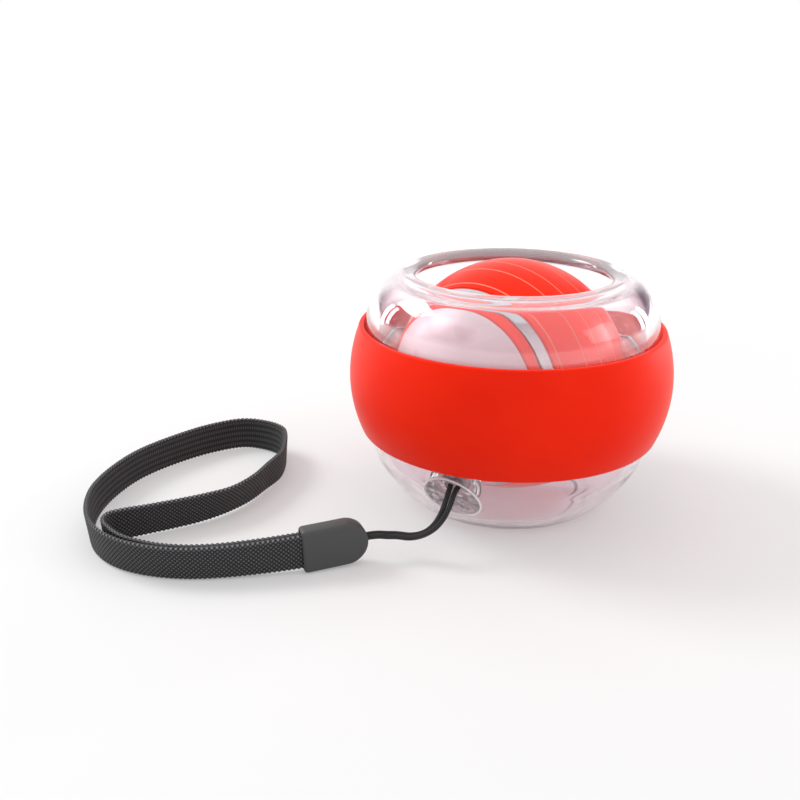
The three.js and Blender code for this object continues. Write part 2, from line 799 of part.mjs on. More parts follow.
// Cord: one strand from the cap to the pin of the eye and the other back.
const cordRoute = [
  [-32.05, -31.95, 5.25], [-30.3, -31.25, 5.4], [-28.3, -30.7, 5.35], [-26.7, -30.45, 5.15], [-24.5, -30.15, 4.95], [-21.65, -30.8, 5],
  [-19.2, -31.15, 5.8], [-17.35, -31.05, 7.3], [-16, -30.2, 9.1], [-15.1, -28.85, 10.9], [-14.3, -26.8, 12.4],
  [-13.8, -25.2, 13.3], [-13.8, -24, 13.8], [-13.5, -23.2, 14.2], [-12.8, -22.8, 14.6], [-11.8, -22.8, 14.8],
  [-11, -23.7, 14.5], [-10.8, -24.7, 14.1], [-11.3, -25.4, 13.7], [-12.3, -25.9, 13.2], [-13.1, -27.15, 12.4],
  [-14, -29.35, 10.9], [-15.2, -31, 9.1], [-17.05, -32.25, 7.3], [-19.4, -32.35, 5.8], [-21.95, -31.95, 5],
  [-24.7, -31.35, 4.95], [-26.5, -31.7, 5.15], [-28.1, -31.9, 5.35], [-30, -32.4, 5.4], [-31.65, -33.1, 5.25],
];

function swept(section, points, steps) {
  const path = new THREE.CatmullRomCurve3(points, false, 'centripetal');
  return new THREE.ExtrudeGeometry(section, { steps, bevelEnabled: false, extrudePath: path });
}

function wristStrap() {
  const [across, through] = [strapWidth / 2, strapThickness / 2];
  const section = new THREE.Shape([
    point(-across, -through + strapChamfer),
    point(-across + strapChamfer, -through),
    point(across - strapChamfer, -through),
    point(across, -through + strapChamfer),
    point(across, through - strapChamfer),
    point(across - strapChamfer, through),
    point(-across + strapChamfer, through),
    point(-across, through - strapChamfer),
  ]);
  const height = restGap + capHeight / 2;
  const low = restGap + across;
  const lastPoint = strapRoute.length - 1;
  const points = strapRoute.map(([x, y], i) => {
    const lift = strapLiftShares[Math.min(i, lastPoint - i)] ?? 0;
    return new THREE.Vector3(x, y, low + lift * (height - low));
  });
  return swept(section, points, strapSteps);
}

function lanyardCord() {
  const corners = [];
  for (let i = 0; i < cordSides; i += 1) {
    const angle = (i / cordSides) * Math.PI * 2;
    corners.push(point(cordRadius * Math.cos(angle), cordRadius * Math.sin(angle)));
  }
  const points = cordRoute.map(([x, y, z]) => new THREE.Vector3(x, y, z));
  return swept(new THREE.Shape(corners), points, cordSteps);
}

// Assembly. The ball's own pieces are drawn about its middle, and the rotor's along its axle.
const group = new THREE.Group();
const ball = new THREE.Group();
ball.position.z = middleHeight;
const rotor = new THREE.Group();
rotor.rotation.z = -Math.PI / 2 - axleHeading;
ball.add(rotor);
group.add(ball);

ball.add(meshOf('upper_shell', upperShell(), clear));
ball.add(meshOf('lower_shell', lowerShell(), clear));
ball.add(meshOf('grip_band', gripBand(), silicone));

rotor.add(meshOf('gimbal_ring', gimbalRing(), nylon));
rotor.add(meshOf('axle', axle(), steel));
rotor.add(meshOf('rotor_drum', rotorDrum(), redPlastic));
rotor.add(meshOf('spring_cover', springCover(), steel));
rotor.add(meshOf('start_spring', startSpring(), springSteel));
rotor.add(meshOf('spring_arbor', springArbor(), steel));
for (let i = 0; i < rollerCount; i += 1) {
  rotor.add(meshOf(`clutch_roller_${i + 1}`, clutchRoller(i), steel));
}

for (const [name, side] of Object.entries(sides)) {
  rotor.add(meshOf(`axle_bush_${name}`, axleBush(side), brass));
  rotor.add(meshOf(`retaining_clip_${name}`, retainingClip(side), springSteel));
  rotor.add(meshOf(`bearing_inner_${name}`, bearingRing(bearingBore, innerRaceOuter, side), steel));
  rotor.add(meshOf(`bearing_outer_${name}`, bearingRing(outerRaceInner, bearingRadius, side), steel));
  rotor.add(meshOf(`bearing_cage_${name}`, bearingCage(side), brass));
  rotor.add(meshOf(`weight_ring_${name}`, weightRing(side), steel));
  rotor.add(meshOf(`side_plate_${name}`, sidePlate(side), redPlastic));
  rotor.add(meshOf(`end_cap_${name}`, endCap(side), whitePlastic));
  for (let i = 0; i < screwCount; i += 1) {
    rotor.add(meshOf(`rotor_screw_${name}_${i + 1}`, rotorScrew(side, i), steel));
  }
}

const cap = meshOf('strap_cap', strapCap(), capPlastic);
cap.position.set(capStart[0], capStart[1], restGap + capHeight / 2);
cap.rotation.order = 'ZYX';
cap.rotation.set(0, -capTilt, capHeading);
group.add(cap);
group.add(meshOf('wrist_strap', wristStrap(), webbing));
group.add(meshOf('lanyard_cord', lanyardCord(), cordYarn));

export default group;
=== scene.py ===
"""Looks of the gyroscopic wrist ball: a clear shell and silicone grip round a rotor, with a wrist strap."""
import math

import bmesh
import bpy
import numpy as np
from mathutils import Matrix, Vector


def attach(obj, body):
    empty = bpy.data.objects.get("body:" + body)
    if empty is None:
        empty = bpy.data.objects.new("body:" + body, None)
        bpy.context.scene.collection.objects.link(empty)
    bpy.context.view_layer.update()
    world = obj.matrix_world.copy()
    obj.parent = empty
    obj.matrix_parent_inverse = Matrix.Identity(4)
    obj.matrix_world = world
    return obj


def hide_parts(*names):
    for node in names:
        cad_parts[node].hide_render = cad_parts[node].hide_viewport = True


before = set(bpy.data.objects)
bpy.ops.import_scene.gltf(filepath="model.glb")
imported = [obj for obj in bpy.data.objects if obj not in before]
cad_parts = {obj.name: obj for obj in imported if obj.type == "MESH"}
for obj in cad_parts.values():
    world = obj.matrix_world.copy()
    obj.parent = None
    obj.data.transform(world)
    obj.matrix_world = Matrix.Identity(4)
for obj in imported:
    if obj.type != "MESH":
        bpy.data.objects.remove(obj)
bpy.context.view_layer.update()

MM = 0.001

# Rotor, along its axle from the centre of the ball. Sizes are in millimetres, as in the solids.
ROTOR_RADIUS = 25.0
AXLE_HEADING = math.radians(41)
DOME_START = 17.2
DOME_WALL = 1.5
DOME_FLAT_RADIUS = 4.4
DOME_EDGE_ROUND = 0.25
PLATE_END, PLATE_START = 16.9, 15.4
RING_FACE_END, RING_FACE_START = 15.1, 13.4
DRUM_HALF = 13.1
DRUM_BORE = 16.34
WEB_BORE = 7.3
WEIGHT_BORE = 7.6
BARREL_START = 5.2
COVER_START, COVER_END = 3.6, 4.9
RIDGE_OFFSETS = (2.7, 6.8, 11.9)
RIDGE_WIDTH = 0.3
RIDGE_DEPTH = 0.3
RIDGE_SHARES = (-0.6, -0.2, 0.2, 0.6)
DRUM_EDGE_DROP, DRUM_EDGE_WIDTH = 0.25, 0.15
BEARING_SEAT, BEARING_START, BEARING_END = 6.3, 13.3, 16.3
BOSS_RADIUS = 7.3
CLIP_BORE = 3.9
AXLE_HOLE = 2.3

# Ball, outside. Heights are measured from the middle of the ball.
MIDDLE_HEIGHT = 28.8
CREST = 22.95
CREST_RADIUS = 23.2
MOUTH_RADIUS = 20.7
LIP_DROP = 1.2
WALL = 2.7
BAND_TOP, BAND_BOTTOM = 11.4, -11.6
BAND_TOP_RADIUS, BAND_BOTTOM_RADIUS = 32.8, 32.5
BAND_INNER_ROUND, BAND_OUTER_ROUND = 0.3, 0.5
BAND_STEPS = 16
BALL_RADIUS = 35.0
SHELL_RADIUS = 33.4
SEAT_TOP_RADIUS, SEAT_BOTTOM_RADIUS = 31.5, 31.2
FOOT_RADIUS = 18.9
FOOT_RECESS_RADIUS = 16.2
FOOT_RECESS = 0.7
FOOT_ROUND, RECESS_ROUND = 0.5, 0.3
FLOOR_WALL = 2.2
HAUNCH_WALL = 2.3
RACE_RADIUS = 31.4
RACE_HALF = 1.3
CHANNEL_HALF = 2.5
CHANNEL_RADIUS = 30.1
LEDGE_RADIUS = 26.6
LEDGE_TOP = 4.4
LAP_INNER, LAP_OUTER = 32.25, 32.55
LAP_REACH = 1.0
SHOULDER_SHARES = ((0.92, 0.36), (0.7, 0.68), (0.37, 0.9))
HAUNCH_SHARES = ((0.84, 0.37), (0.5, 0.73), (0.25, 0.9))
SEAT_GAP = 0.3
EDGE_ROUND = 0.12
SHELL_FACETS = 192
SIDE_STEPS = 24

# Lanyard eye: places of the cord's hole and of the oval dish round it
EYE_RADIUS = 30.3
EYE_HEIGHT = -16.4
EYE_HEADING = math.radians(27)
EYE_TILT = math.radians(28.2)
DISH_RADIUS = 29.12
DISH_HEIGHT = -18.2
DISH_HEADING = math.radians(28.1)
DISH_TILT = math.radians(27.5)
DISH_ROLL = math.radians(-27.6)
DISH_SIZE = (7.2, 6.1, 1.3)
BOSS_SIZE = (5.6, 4.6, 6.4)
BOSS_SETBACK = 1.6
BEAD_RADIUS = 0.24
BEAD_STEPS, BEAD_SIDES = 180, 12
THROAT_SIZE, THROAT_ROUND = (3.6, 2.4, 3.2), 0.35
CHAMBER_SIZE, CHAMBER_ROUND = (5.2, 2.4, 3.9), 0.3
CHAMBER_SETBACK = 4.15
PIN_RADIUS, PIN_LENGTH = 0.6, 3.4
PIN_SETBACK = 3.6

# Strap cap
CAP_LENGTH, CAP_HEIGHT, CAP_THICKNESS = 13.3, 9.0, 3.6
CAP_HEADING = math.radians(19)
CAP_TILT = math.radians(2.6)
CAP_START = (-43.1, -36.4)
CAP_CORNER = 0.8
CAP_EASE, CAP_EASE_STEPS = 0.7, 6
MOUTH_SIZE, SOCKET_SIZE = (6.0, 2.7, 8.1), (3.4, 2.9, 1.7)
OPENING_ROUND = 0.25
REST_GAP = 0.2

# Webbing and cord. The routes are those of the solids, in metres.
STRAP_WIDTH, STRAP_THICKNESS = 7.5, 0.9
STRAP_FLAT = STRAP_WIDTH - STRAP_THICKNESS
STRAP_EDGE = STRAP_THICKNESS / 2 * math.pi
RIB_COUNT = 5
RIB_ROUNDNESS = 0.6
EDGE_STITCH = 0.95
BRAID_CELL = 0.95
CORD_RADIUS = 0.55
CORD_CELL = 0.62
STRAP_ROUTE = (
    (-0.04044, -0.03614), (-0.04337, -0.03715), (-0.0482, -0.03835), (-0.0538, -0.0393), (-0.0592, -0.03995),
    (-0.0645, -0.04025), (-0.0696, -0.03975), (-0.0745, -0.0384), (-0.079, -0.0362), (-0.0828, -0.0331),
    (-0.0859, -0.029), (-0.088, -0.0242), (-0.0893, -0.019), (-0.0898, -0.013), (-0.0886, -0.0044),
    (-0.0851, 0.0053), (-0.0785, 0.0143), (-0.0707, 0.0215), (-0.0634, 0.0249), (-0.0573, 0.0232),
    (-0.0536, 0.02), (-0.0522, 0.016), (-0.0518, 0.0109), (-0.0522, 0.0051), (-0.0545, -0.001),
    (-0.0572, -0.0076), (-0.061, -0.013), (-0.0659, -0.0168), (-0.0715, -0.0199), (-0.0768, -0.0224),
    (-0.081, -0.0244), (-0.0831, -0.026), (-0.0836, -0.028), (-0.0827, -0.0298), (-0.08078, -0.03116),
    (-0.07744, -0.03376), (-0.07346, -0.03564), (-0.0691, -0.03705), (-0.06447, -0.0385), (-0.05931, -0.0387),
    (-0.05397, -0.03811), (-0.04844, -0.03717), (-0.0437, -0.036), (-0.04083, -0.03501),
)
# How far the webbing leans out of the loop at each point of its route, in degrees
STRAP_LEAN = (
    4, 4, 6, 8, 9, 10, 10, 9, 8, 7, 6, 5, 4, 3, 1, 0, 1, 7, 12, 13, 9, 5,
    5, 8, 12, 17, 20, 15, 12, 10, 6, 3, 0, -8, -20, -26, -28, -28, -18, -12, -9, -7, -5, -4,
)
STRAP_LIFT_SHARES = (1, 1, 0.75, 0.35, 0.1)
CORD_ROUTE = (
    (-0.03205, -0.03195, 0.00525), (-0.0303, -0.03125, 0.0054), (-0.0283, -0.0307, 0.00535),
    (-0.0267, -0.03045, 0.00515), (-0.0245, -0.03015, 0.00495), (-0.02165, -0.0308, 0.005),
    (-0.0192, -0.03115, 0.0058), (-0.01735, -0.03105, 0.0073), (-0.016, -0.0302, 0.0091),
    (-0.0151, -0.02885, 0.0109), (-0.0143, -0.0268, 0.0124), (-0.0138, -0.0252, 0.0133),
    (-0.0138, -0.024, 0.0138), (-0.0135, -0.0232, 0.0142), (-0.0128, -0.0228, 0.0146),
    (-0.0118, -0.0228, 0.0148), (-0.011, -0.0237, 0.0145), (-0.0108, -0.0247, 0.0141),
    (-0.0113, -0.0254, 0.0137), (-0.0123, -0.0259, 0.0132), (-0.0131, -0.02715, 0.0124),
    (-0.014, -0.02935, 0.0109), (-0.0152, -0.031, 0.0091), (-0.01705, -0.03225, 0.0073),
    (-0.0194, -0.03235, 0.0058), (-0.02195, -0.03195, 0.005), (-0.0247, -0.03135, 0.00495),
    (-0.0265, -0.0317, 0.00515), (-0.0281, -0.0319, 0.00535), (-0.03, -0.0324, 0.0054),
    (-0.03165, -0.0331, 0.00525),
)

# Camera, at the photograph's viewing angle
IMAGE_SIZE = 800
FOCAL_PIXELS = 962.79
SENSOR_WIDTH = 36.0
CAMERA_PLACE = (-0.024006, -0.201008, 0.09717)
CAMERA_PITCH = 0.35694
CAMERA_ROLL = -0.00243


def make_camera():
    data = bpy.data.cameras.new("camera")
    data.sensor_width = SENSOR_WIDTH
    data.lens = FOCAL_PIXELS * SENSOR_WIDTH / IMAGE_SIZE
    data.clip_start = 0.005
    data.clip_end = 50
    camera = bpy.data.objects.new("camera", data)
    bpy.context.scene.collection.objects.link(camera)
    right = Vector((1, 0, 0))
    forward = Vector((0, math.cos(CAMERA_PITCH), -math.sin(CAMERA_PITCH)))
    up = right.cross(forward)
    cos, sin = math.cos(CAMERA_ROLL), math.sin(CAMERA_ROLL)
    across, along = right * cos - up * sin, right * sin + up * cos
    turn = Matrix((across, along, -forward)).transposed().to_4x4()
    camera.matrix_world = Matrix.Translation(CAMERA_PLACE) @ turn
    bpy.context.scene.camera = camera


make_camera()


# Curves and outlines
def spline(points, steps, alpha=0.5):
    """Points of a Catmull-Rom curve through the given points, spread evenly along it."""
    points = np.array(points, float)
    ends = [2 * points[0] - points[1], 2 * points[-1] - points[-2]]
    hull = np.vstack([ends[:1], points, ends[1:]])
    fine = []
    for p0, p1, p2, p3 in zip(hull, hull[1:], hull[2:], hull[3:]):
        t1 = np.linalg.norm(p1 - p0) ** alpha
        t2 = t1 + np.linalg.norm(p2 - p1) ** alpha
        t3 = t2 + np.linalg.norm(p3 - p2) ** alpha
        for t in np.linspace(t1, t2, 24, endpoint=False):
            a1 = p0 + (p1 - p0) * t / t1
            a2 = p1 + (p2 - p1) * (t - t1) / (t2 - t1)
            a3 = p2 + (p3 - p2) * (t - t2) / (t3 - t2)
            b1 = a1 + (a2 - a1) * t / t2
            b2 = a2 + (a3 - a2) * (t - t1) / (t3 - t1)
            fine.append(b1 + (b2 - b1) * (t - t1) / (t2 - t1))
    fine = np.array(fine + [points[-1]])
    along = np.concatenate([[0], np.cumsum(np.linalg.norm(np.diff(fine, axis=0), axis=1))])
    even = np.linspace(0, along[-1], steps + 1)
    return np.stack([np.interp(even, along, fine[:, k]) for k in range(fine.shape[1])], 1)


def rounded(outline, radius, steps=4):
    """A closed outline with each sharp corner rounded. A corner may have its own radius as a third number."""
    result = []
    count = len(outline)
    for i, corner in enumerate(outline):
        here = np.array(corner[:2], float)
        before = np.array(outline[i - 1][:2], float) - here
        after = np.array(outline[(i + 1) % count][:2], float) - here
        wanted = corner[2] if len(corner) > 2 else radius
        reach = min(wanted, *(np.linalg.norm(v) * 0.45 for v in (before, after)))
        if reach < 1e-6:
            result.append(here)
            continue
        start = here + before / np.linalg.norm(before) * reach
        end = here + after / np.linalg.norm(after) * reach
        for t in np.linspace(0, 1, steps + 1):
            result.append((1 - t) ** 2 * start + 2 * t * (1 - t) * here + t**2 * end)
    return np.array(result)


def inset(points, distance):
    """An open curve moved sideways by a distance, to the left of its direction."""
    points = np.array(points, float)
    ahead = np.gradient(points, axis=0)
    ahead /= np.linalg.norm(ahead, axis=1)[:, None]
    return points + distance * np.stack([-ahead[:, 1], ahead[:, 0]], 1)


def sphere_curve(start, end, steps, radius=ROTOR_RADIUS):
    distances = np.linspace(start, end, steps + 1)
    return [(math.sqrt(radius**2 - d**2), d) for d in distances]


# Meshes
def finish_mesh(name, mesh_data, materials, smooth_angle=35, body="shell"):
    mesh = bpy.data.meshes.new(name)
    mesh_data.to_mesh(mesh)
    mesh_data.free()
    return place_mesh(name, mesh, materials, smooth_angle, body)


def place_mesh(name, mesh, materials, smooth_angle, body):
    mesh.shade_smooth()
    mesh.set_sharp_from_angle(angle=math.radians(smooth_angle))
    for material in materials:
        mesh.materials.append(material)
    piece = bpy.data.objects.new(name, mesh)
    bpy.context.scene.collection.objects.link(piece)
    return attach(piece, body)


def revolve(outline, facets=144, marks=None):
    """A closed ring section, or an outline from axis to axis, turned about +Z, in metres.

    marks gives the material of each edge of the outline.
    """
    outline = np.array(outline, float) * MM
    closed = outline[0][0] > 1e-7 or outline[-1][0] > 1e-7
    mesh = bmesh.new()
    rings = []
    for radius, height in outline:
        if radius < 1e-7:
            rings.append([mesh.verts.new((0, 0, height))] * facets)
            continue
        angles = (i / facets * 2 * math.pi for i in range(facets))
        rings.append([mesh.verts.new((radius * math.cos(a), radius * math.sin(a), height)) for a in angles])
    pairs = list(zip(rings, rings[1:] + rings[:1]))
    for k, (low, high) in enumerate(pairs if closed else pairs[:-1]):
        for i in range(facets):
            j = (i + 1) % facets
            corners = [low[i], low[j], high[j], high[i]]
            face = mesh.faces.new([v for n, v in enumerate(corners) if v not in corners[:n]])
            face.material_index = marks[k] if marks else 0
    bmesh.ops.recalc_face_normals(mesh, faces=mesh.faces)
    return mesh


BALL_PLACE = Matrix.Translation((0, 0, MIDDLE_HEIGHT * MM))
AXLE_PLACE = BALL_PLACE @ Matrix.Rotation(-math.pi / 2 - AXLE_HEADING, 4, "Z")
ALONG_AXLE = Matrix.Rotation(math.pi / 2, 4, "Y")


def on_haunch(heading, radius, height, tilt):
    """A place on the lower shell: +X goes along the surface, +Y up along it and +Z straight out of it."""
    move = Matrix.Translation((0, -radius * MM, height * MM))
    outwards = move @ Matrix.Rotation(math.pi / 2 + tilt, 4, "X")
    return BALL_PLACE @ Matrix.Rotation(-heading, 4, "Z") @ outwards


EYE_PLACE = on_haunch(EYE_HEADING, EYE_RADIUS, EYE_HEIGHT, EYE_TILT)
DISH_PLACE = on_haunch(DISH_HEADING, DISH_RADIUS, DISH_HEIGHT, DISH_TILT)


def turned(name, outline, materials, node, body, marks=None, side=0, facets=144, smooth_angle=35):
    """A turned piece that stands for a CAD node: about the ball's axis, or along the axle on side 1 or -1."""
    mesh = revolve(outline, facets, marks)
    place = BALL_PLACE
    if side:
        facing = Matrix.Identity(4) if side > 0 else Matrix.Rotation(math.pi, 4, "Z")
        place = AXLE_PLACE @ facing @ ALONG_AXLE
    mesh.transform(place)
    piece = finish_mesh(name, mesh, materials, smooth_angle, body)
    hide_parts(node)
    return piece


# Materials
class Graph:
    """A material and short ways to add nodes to it."""

    def __init__(self, name):
        self.material = bpy.data.materials.new(name)
        self.material.use_nodes = True
        self.tree = self.material.node_tree
        self.tree.nodes.clear()
        self.output = self.tree.nodes.new("ShaderNodeOutputMaterial")

    def node(self, kind, **settings):
        node = self.tree.nodes.new("ShaderNode" + kind)
        for key, value in settings.items():
            setattr(node, key, value)
        return node

    def link(self, source, target):
        self.tree.links.new(source, target)

    def put(self, value, socket):
        if isinstance(value, bpy.types.NodeSocket):
            self.link(value, socket)
        else:
            socket.default_value = value

    def math(self, operation, *values):
        node = self.node("Math", operation=operation)
        for value, socket in zip(values, node.inputs):
            self.put(value, socket)
        return node.outputs[0]

    def principled(self, **inputs):
        shader = self.node("BsdfPrincipled")
        for key, value in inputs.items():
            self.put(value, shader.inputs[key.replace("_", " ")])
        self.link(shader.outputs[0], self.output.inputs["Surface"])
        return shader

    def place(self):
        return self.node("TexCoord").outputs["Object"]

    def noise(self, scale, detail=2.0, vector=None, roughness=0.5):
        node = self.node("TexNoise")
        node.inputs["Scale"].default_value = scale
        node.inputs["Detail"].default_value = detail
        node.inputs["Roughness"].default_value = roughness
        self.link(vector or self.place(), node.inputs["Vector"])
        return node.outputs["Fac"]

    def ramp(self, factor, stops):
        node = self.node("ValToRGB")
        elements = node.color_ramp.elements
        for i, (place, colour) in enumerate(stops):
            element = elements[i] if i < 2 else elements.new(place)
            element.position = place
            element.color = (*colour, 1)
        self.link(factor, node.inputs[0])
        return node.outputs[0]

    def span(self, factor, low, high, start=0.0, end=1.0):
        node = self.node("MapRange")
        inputs = {"Value": factor, "From Min": start, "From Max": end, "To Min": low, "To Max": high}
        for key, value in inputs.items():
            self.put(value, node.inputs[key])
        return node.outputs[0]

    def bump(self, height, strength, distance, normal=None):
        node = self.node("Bump")
        node.inputs["Strength"].default_value = strength
        node.inputs["Distance"].default_value = distance
        self.link(height, node.inputs["Height"])
        if normal:
            self.link(normal, node.inputs["Normal"])
        return node.outputs[0]


def shade(red, green, blue):
    """A colour as written in 0 to 255, for a shader."""
    levels = (c / 255 for c in (red, green, blue))
    return tuple(((c + 0.055) / 1.055) ** 2.4 if c > 0.0404 else c / 12.92 for c in levels)


def moulded_plastic(name, colour, roughness, grain=0.00001, gloss=0.5, spread=0.05):
    """Plastic with a fine mould grain, and colour and gloss that vary a little."""
    g = Graph(name)
    broad = g.noise(scale=90, detail=3)
    fine = g.noise(scale=2600, detail=2)
    low = tuple(c * (1 - spread) for c in colour)
    high = tuple(min(c * (1 + spread), 1) for c in colour)
    g.principled(
        Base_Color=g.ramp(broad, ((0.3, low), (0.7, high))),
        Roughness=g.span(broad, roughness * 0.85, roughness * 1.15),
        Specular_IOR_Level=gloss,
        Normal=g.bump(fine, 0.5, grain),
    )
    return g.material


def turned_metal(name, colour, roughness, fineness=2200):
    """Metal with the fine rings that a lathe leaves round the axle."""
    g = Graph(name)
    split = g.node("SeparateXYZ")
    g.link(g.place(), split.inputs[0])
    along = g.math("ADD", g.math("MULTIPLY", split.outputs[0], -math.sin(AXLE_HEADING)),
                   g.math("MULTIPLY", split.outputs[1], -math.cos(AXLE_HEADING)))
    rings = g.node("TexNoise", noise_dimensions="1D")
    rings.inputs["Scale"].default_value = fineness
    rings.inputs["Detail"].default_value = 3
    g.link(along, rings.inputs["W"])
    smudge = g.noise(scale=160, detail=3)
    low = tuple(c * 0.82 for c in colour)
    g.principled(
        Base_Color=g.ramp(smudge, ((0.3, low), (0.7, colour))),
        Metallic=1.0,
        Roughness=g.span(smudge, roughness * 0.8, roughness * 1.3),
        Normal=g.bump(rings.outputs["Fac"], 0.35, 0.000012),
    )
    return g.material


def ground_metal(name, colour, roughness):
    """Metal with a fine ground finish."""
    g = Graph(name)
    smudge = g.noise(scale=220, detail=3)
    grain = g.noise(scale=3500, detail=2)
    low = tuple(c * 0.8 for c in colour)
    g.principled(
        Base_Color=g.ramp(smudge, ((0.3, low), (0.7, colour))),
        Metallic=1.0,
        Roughness=g.span(smudge, roughness * 0.8, roughness * 1.3),
        Normal=g.bump(grain, 0.3, 0.000006),
    )
    return g.material


SHELL_IOR = 1.42
SKIN_GLOSS = 0.6
SKIN_IOR = 1.6
WAVE_SCALE, RIPPLE_SCALE, FACET_SCALE = 70, 420, 520
SHADOW_TINT = (0.93, 0.9, 0.91)


def clear_plastic(name, colour, roughness=0.015, clearness=1.0, facets=0.0):
    """Clear moulding with a glossy skin and the slight waves of a thick wall. It lets shadow rays through.

    What clearness leaves is milky. facets is the depth, in metres, of crumpled facets about 2 mm across.
    """
    g = Graph(name)
    waves = g.noise(scale=WAVE_SCALE, detail=1.5)
    ripples = g.noise(scale=RIPPLE_SCALE, detail=1)
    normal = g.bump(ripples, 0.12, 0.00003, g.bump(waves, 0.35, 0.0002))
    if facets:
        cells = g.node("TexVoronoi", feature="F1", distance="EUCLIDEAN")
        cells.inputs["Scale"].default_value = FACET_SCALE
        g.link(g.place(), cells.inputs["Vector"])
        normal = g.bump(cells.outputs["Distance"], 1.0, facets, normal)
    shader = g.principled(
        Base_Color=(*colour, 1),
        Roughness=roughness,
        IOR=SHELL_IOR,
        Transmission_Weight=clearness,
        Coat_Weight=SKIN_GLOSS,
        Coat_IOR=SKIN_IOR,
        Coat_Roughness=0.02,
        Normal=normal,
    )
    through = g.node("BsdfTransparent")
    through.inputs["Color"].default_value = (*SHADOW_TINT, 1)
    blend = g.node("MixShader")
    g.link(g.node("LightPath").outputs["Is Shadow Ray"], blend.inputs[0])
    g.link(shader.outputs[0], blend.inputs[1])
    g.link(through.outputs[0], blend.inputs[2])
    g.link(blend.outputs[0], g.output.inputs["Surface"])
    return g.material


def silicone(name):
    """Soft grip rubber: satin, with a very fine tooth and a soft sheen."""
    g = Graph(name)
    broad = g.noise(scale=60, detail=3)
    tooth = g.noise(scale=4200, detail=2)
    g.principled(
        Base_Color=g.ramp(broad, ((0.3, shade(240, 33, 4)), (0.7, shade(246, 39, 7)))),
        Roughness=g.span(broad, 0.42, 0.5),
        Specular_IOR_Level=0.08,
        Sheen_Weight=0.26,
        Sheen_Roughness=0.33,
        Sheen_Tint=(1, 0.72, 0.66, 1),
        Normal=g.bump(tooth, 0.35, 0.000012),
    )
    return g.material


RIB_YARN = 0.6
RIB_SHADE = 0.8
# How far the edge stitches rise: in the bump, and as a painted highlight in the colour
STITCH_RELIEF_AND_HIGHLIGHT = 0.55
FIBRE_SCALE = 6.5


def braid_graph(name, colour, painted_highlight, cell, ribbed=0.0, edge=0.0):
    """Braided yarn on a piece whose UV map is in millimetres: crossing bundles with dark gaps between them.
    The colour follows the relief: painted shade in the gaps and a painted highlight on the crests.

    The first part across the UV map, as wide as ribbed, has ribs along it with fine yarns across them. After
    each flat face comes an edge, as wide as edge, with a row of raised stitches that carry a painted
    highlight.
    """
    g = Graph(name)
    yarn = g.node("UVMap", uv_map="yarn").outputs[0]
    split = g.node("SeparateXYZ")
    g.link(yarn, split.inputs[0])
    along, across = split.outputs[0], split.outputs[1]
    scale = math.pi / cell
    rising = g.math("MULTIPLY", g.math("ADD", along, across), scale)
    falling = g.math("MULTIPLY", g.math("SUBTRACT", along, across), scale)
    height = g.math("ABSOLUTE", g.math("MULTIPLY", g.math("SINE", rising), g.math("SINE", falling)))
    if ribbed:
        place = g.math("MULTIPLY", across, RIB_COUNT / ribbed)
        rib = g.math("ABSOLUTE", g.math("SINE", g.math("MULTIPLY", place, math.pi)))
        slanted = g.math("ADD", along, g.math("MULTIPLY", rib, RIB_YARN * 0.5))
        yarns = g.math("ABSOLUTE", g.math("SINE", g.math("MULTIPLY", slanted, math.pi / RIB_YARN)))
        ribs = g.math("MULTIPLY", g.math("POWER", rib, RIB_ROUNDNESS), g.span(yarns, 0.1, 0.95))
        on_ribs = g.math("LESS_THAN", across, ribbed)
        ribs = g.math("MULTIPLY", ribs, RIB_SHADE)
        braid = g.math("MULTIPLY", g.math("SUBTRACT", 1.0, on_ribs), height)
        height = g.math("ADD", g.math("MULTIPLY", on_ribs, ribs), braid)
        # Edge stitches: raised in the bump and brightened in the colour as a painted highlight
        on_edge = g.math("GREATER_THAN", g.math("MODULO", across, ribbed + edge), ribbed)
        stitch = g.math("ABSOLUTE", g.math("SINE", g.math("MULTIPLY", along, math.pi / EDGE_STITCH)))
        height = g.math("ADD", height, g.math("MULTIPLY", on_edge, g.math("MULTIPLY", stitch, STITCH_RELIEF_AND_HIGHLIGHT)))
    fibres = g.noise(scale=FIBRE_SCALE, detail=2, vector=yarn)
    height = g.math("ADD", height, g.math("MULTIPLY", fibres, 0.35))
    # Colour follows the relief: painted shade in the gaps, painted highlight on the crests and brightest on
    # the edge stitches
    level = g.math("MULTIPLY", height, 0.55)
    dark = tuple(c * 0.2 for c in colour)
    bead_highlight = tuple(c * 2.4 for c in painted_highlight)
    g.principled(
        Base_Color=g.ramp(level, ((0.09, dark), (0.36, colour), (0.6, painted_highlight), (1.0, bead_highlight))),
        Roughness=g.span(fibres, 0.7, 0.85),
        Sheen_Weight=0.07,
        Sheen_Roughness=0.4,
        Normal=g.bump(height, 0.7, 0.00012),
    )
    return g.material


# How far each step of the rim reaches from its crest, in millimetres, and how clear it is
RIM_STEPS = ((1.4, 0.72), (2.1, 0.8), (2.9, 0.87), (3.8, 0.93))
RIM_COLOUR = (1.0, 0.915, 0.95)

CLEAR = clear_plastic("clear_shell", (0.985, 0.9, 0.93), clearness=0.985)
CLEAR_RIM = [clear_plastic(f"clear_rim_{reach}", RIM_COLOUR, clearness=share) for reach, share in RIM_STEPS]
CLEAR_LOWER = clear_plastic("clear_lower_shell", (0.975, 0.88, 0.92), clearness=0.95)
CLEAR_FACETS = clear_plastic("clear_eye", (1.0, 0.88, 0.93), 0.1, clearness=0.6, facets=0.0045)
# Pale, mostly milky finish of the dish's edge: a painted highlight round the eye
CLEAR_EDGE_HIGHLIGHT = clear_plastic("clear_eye_edge_highlight", (0.98, 0.93, 0.955), 0.12, clearness=0.3)
GRIP = silicone("grip_silicone")
RED = moulded_plastic("rotor_red", shade(252, 38, 3), 0.3, gloss=0.14)
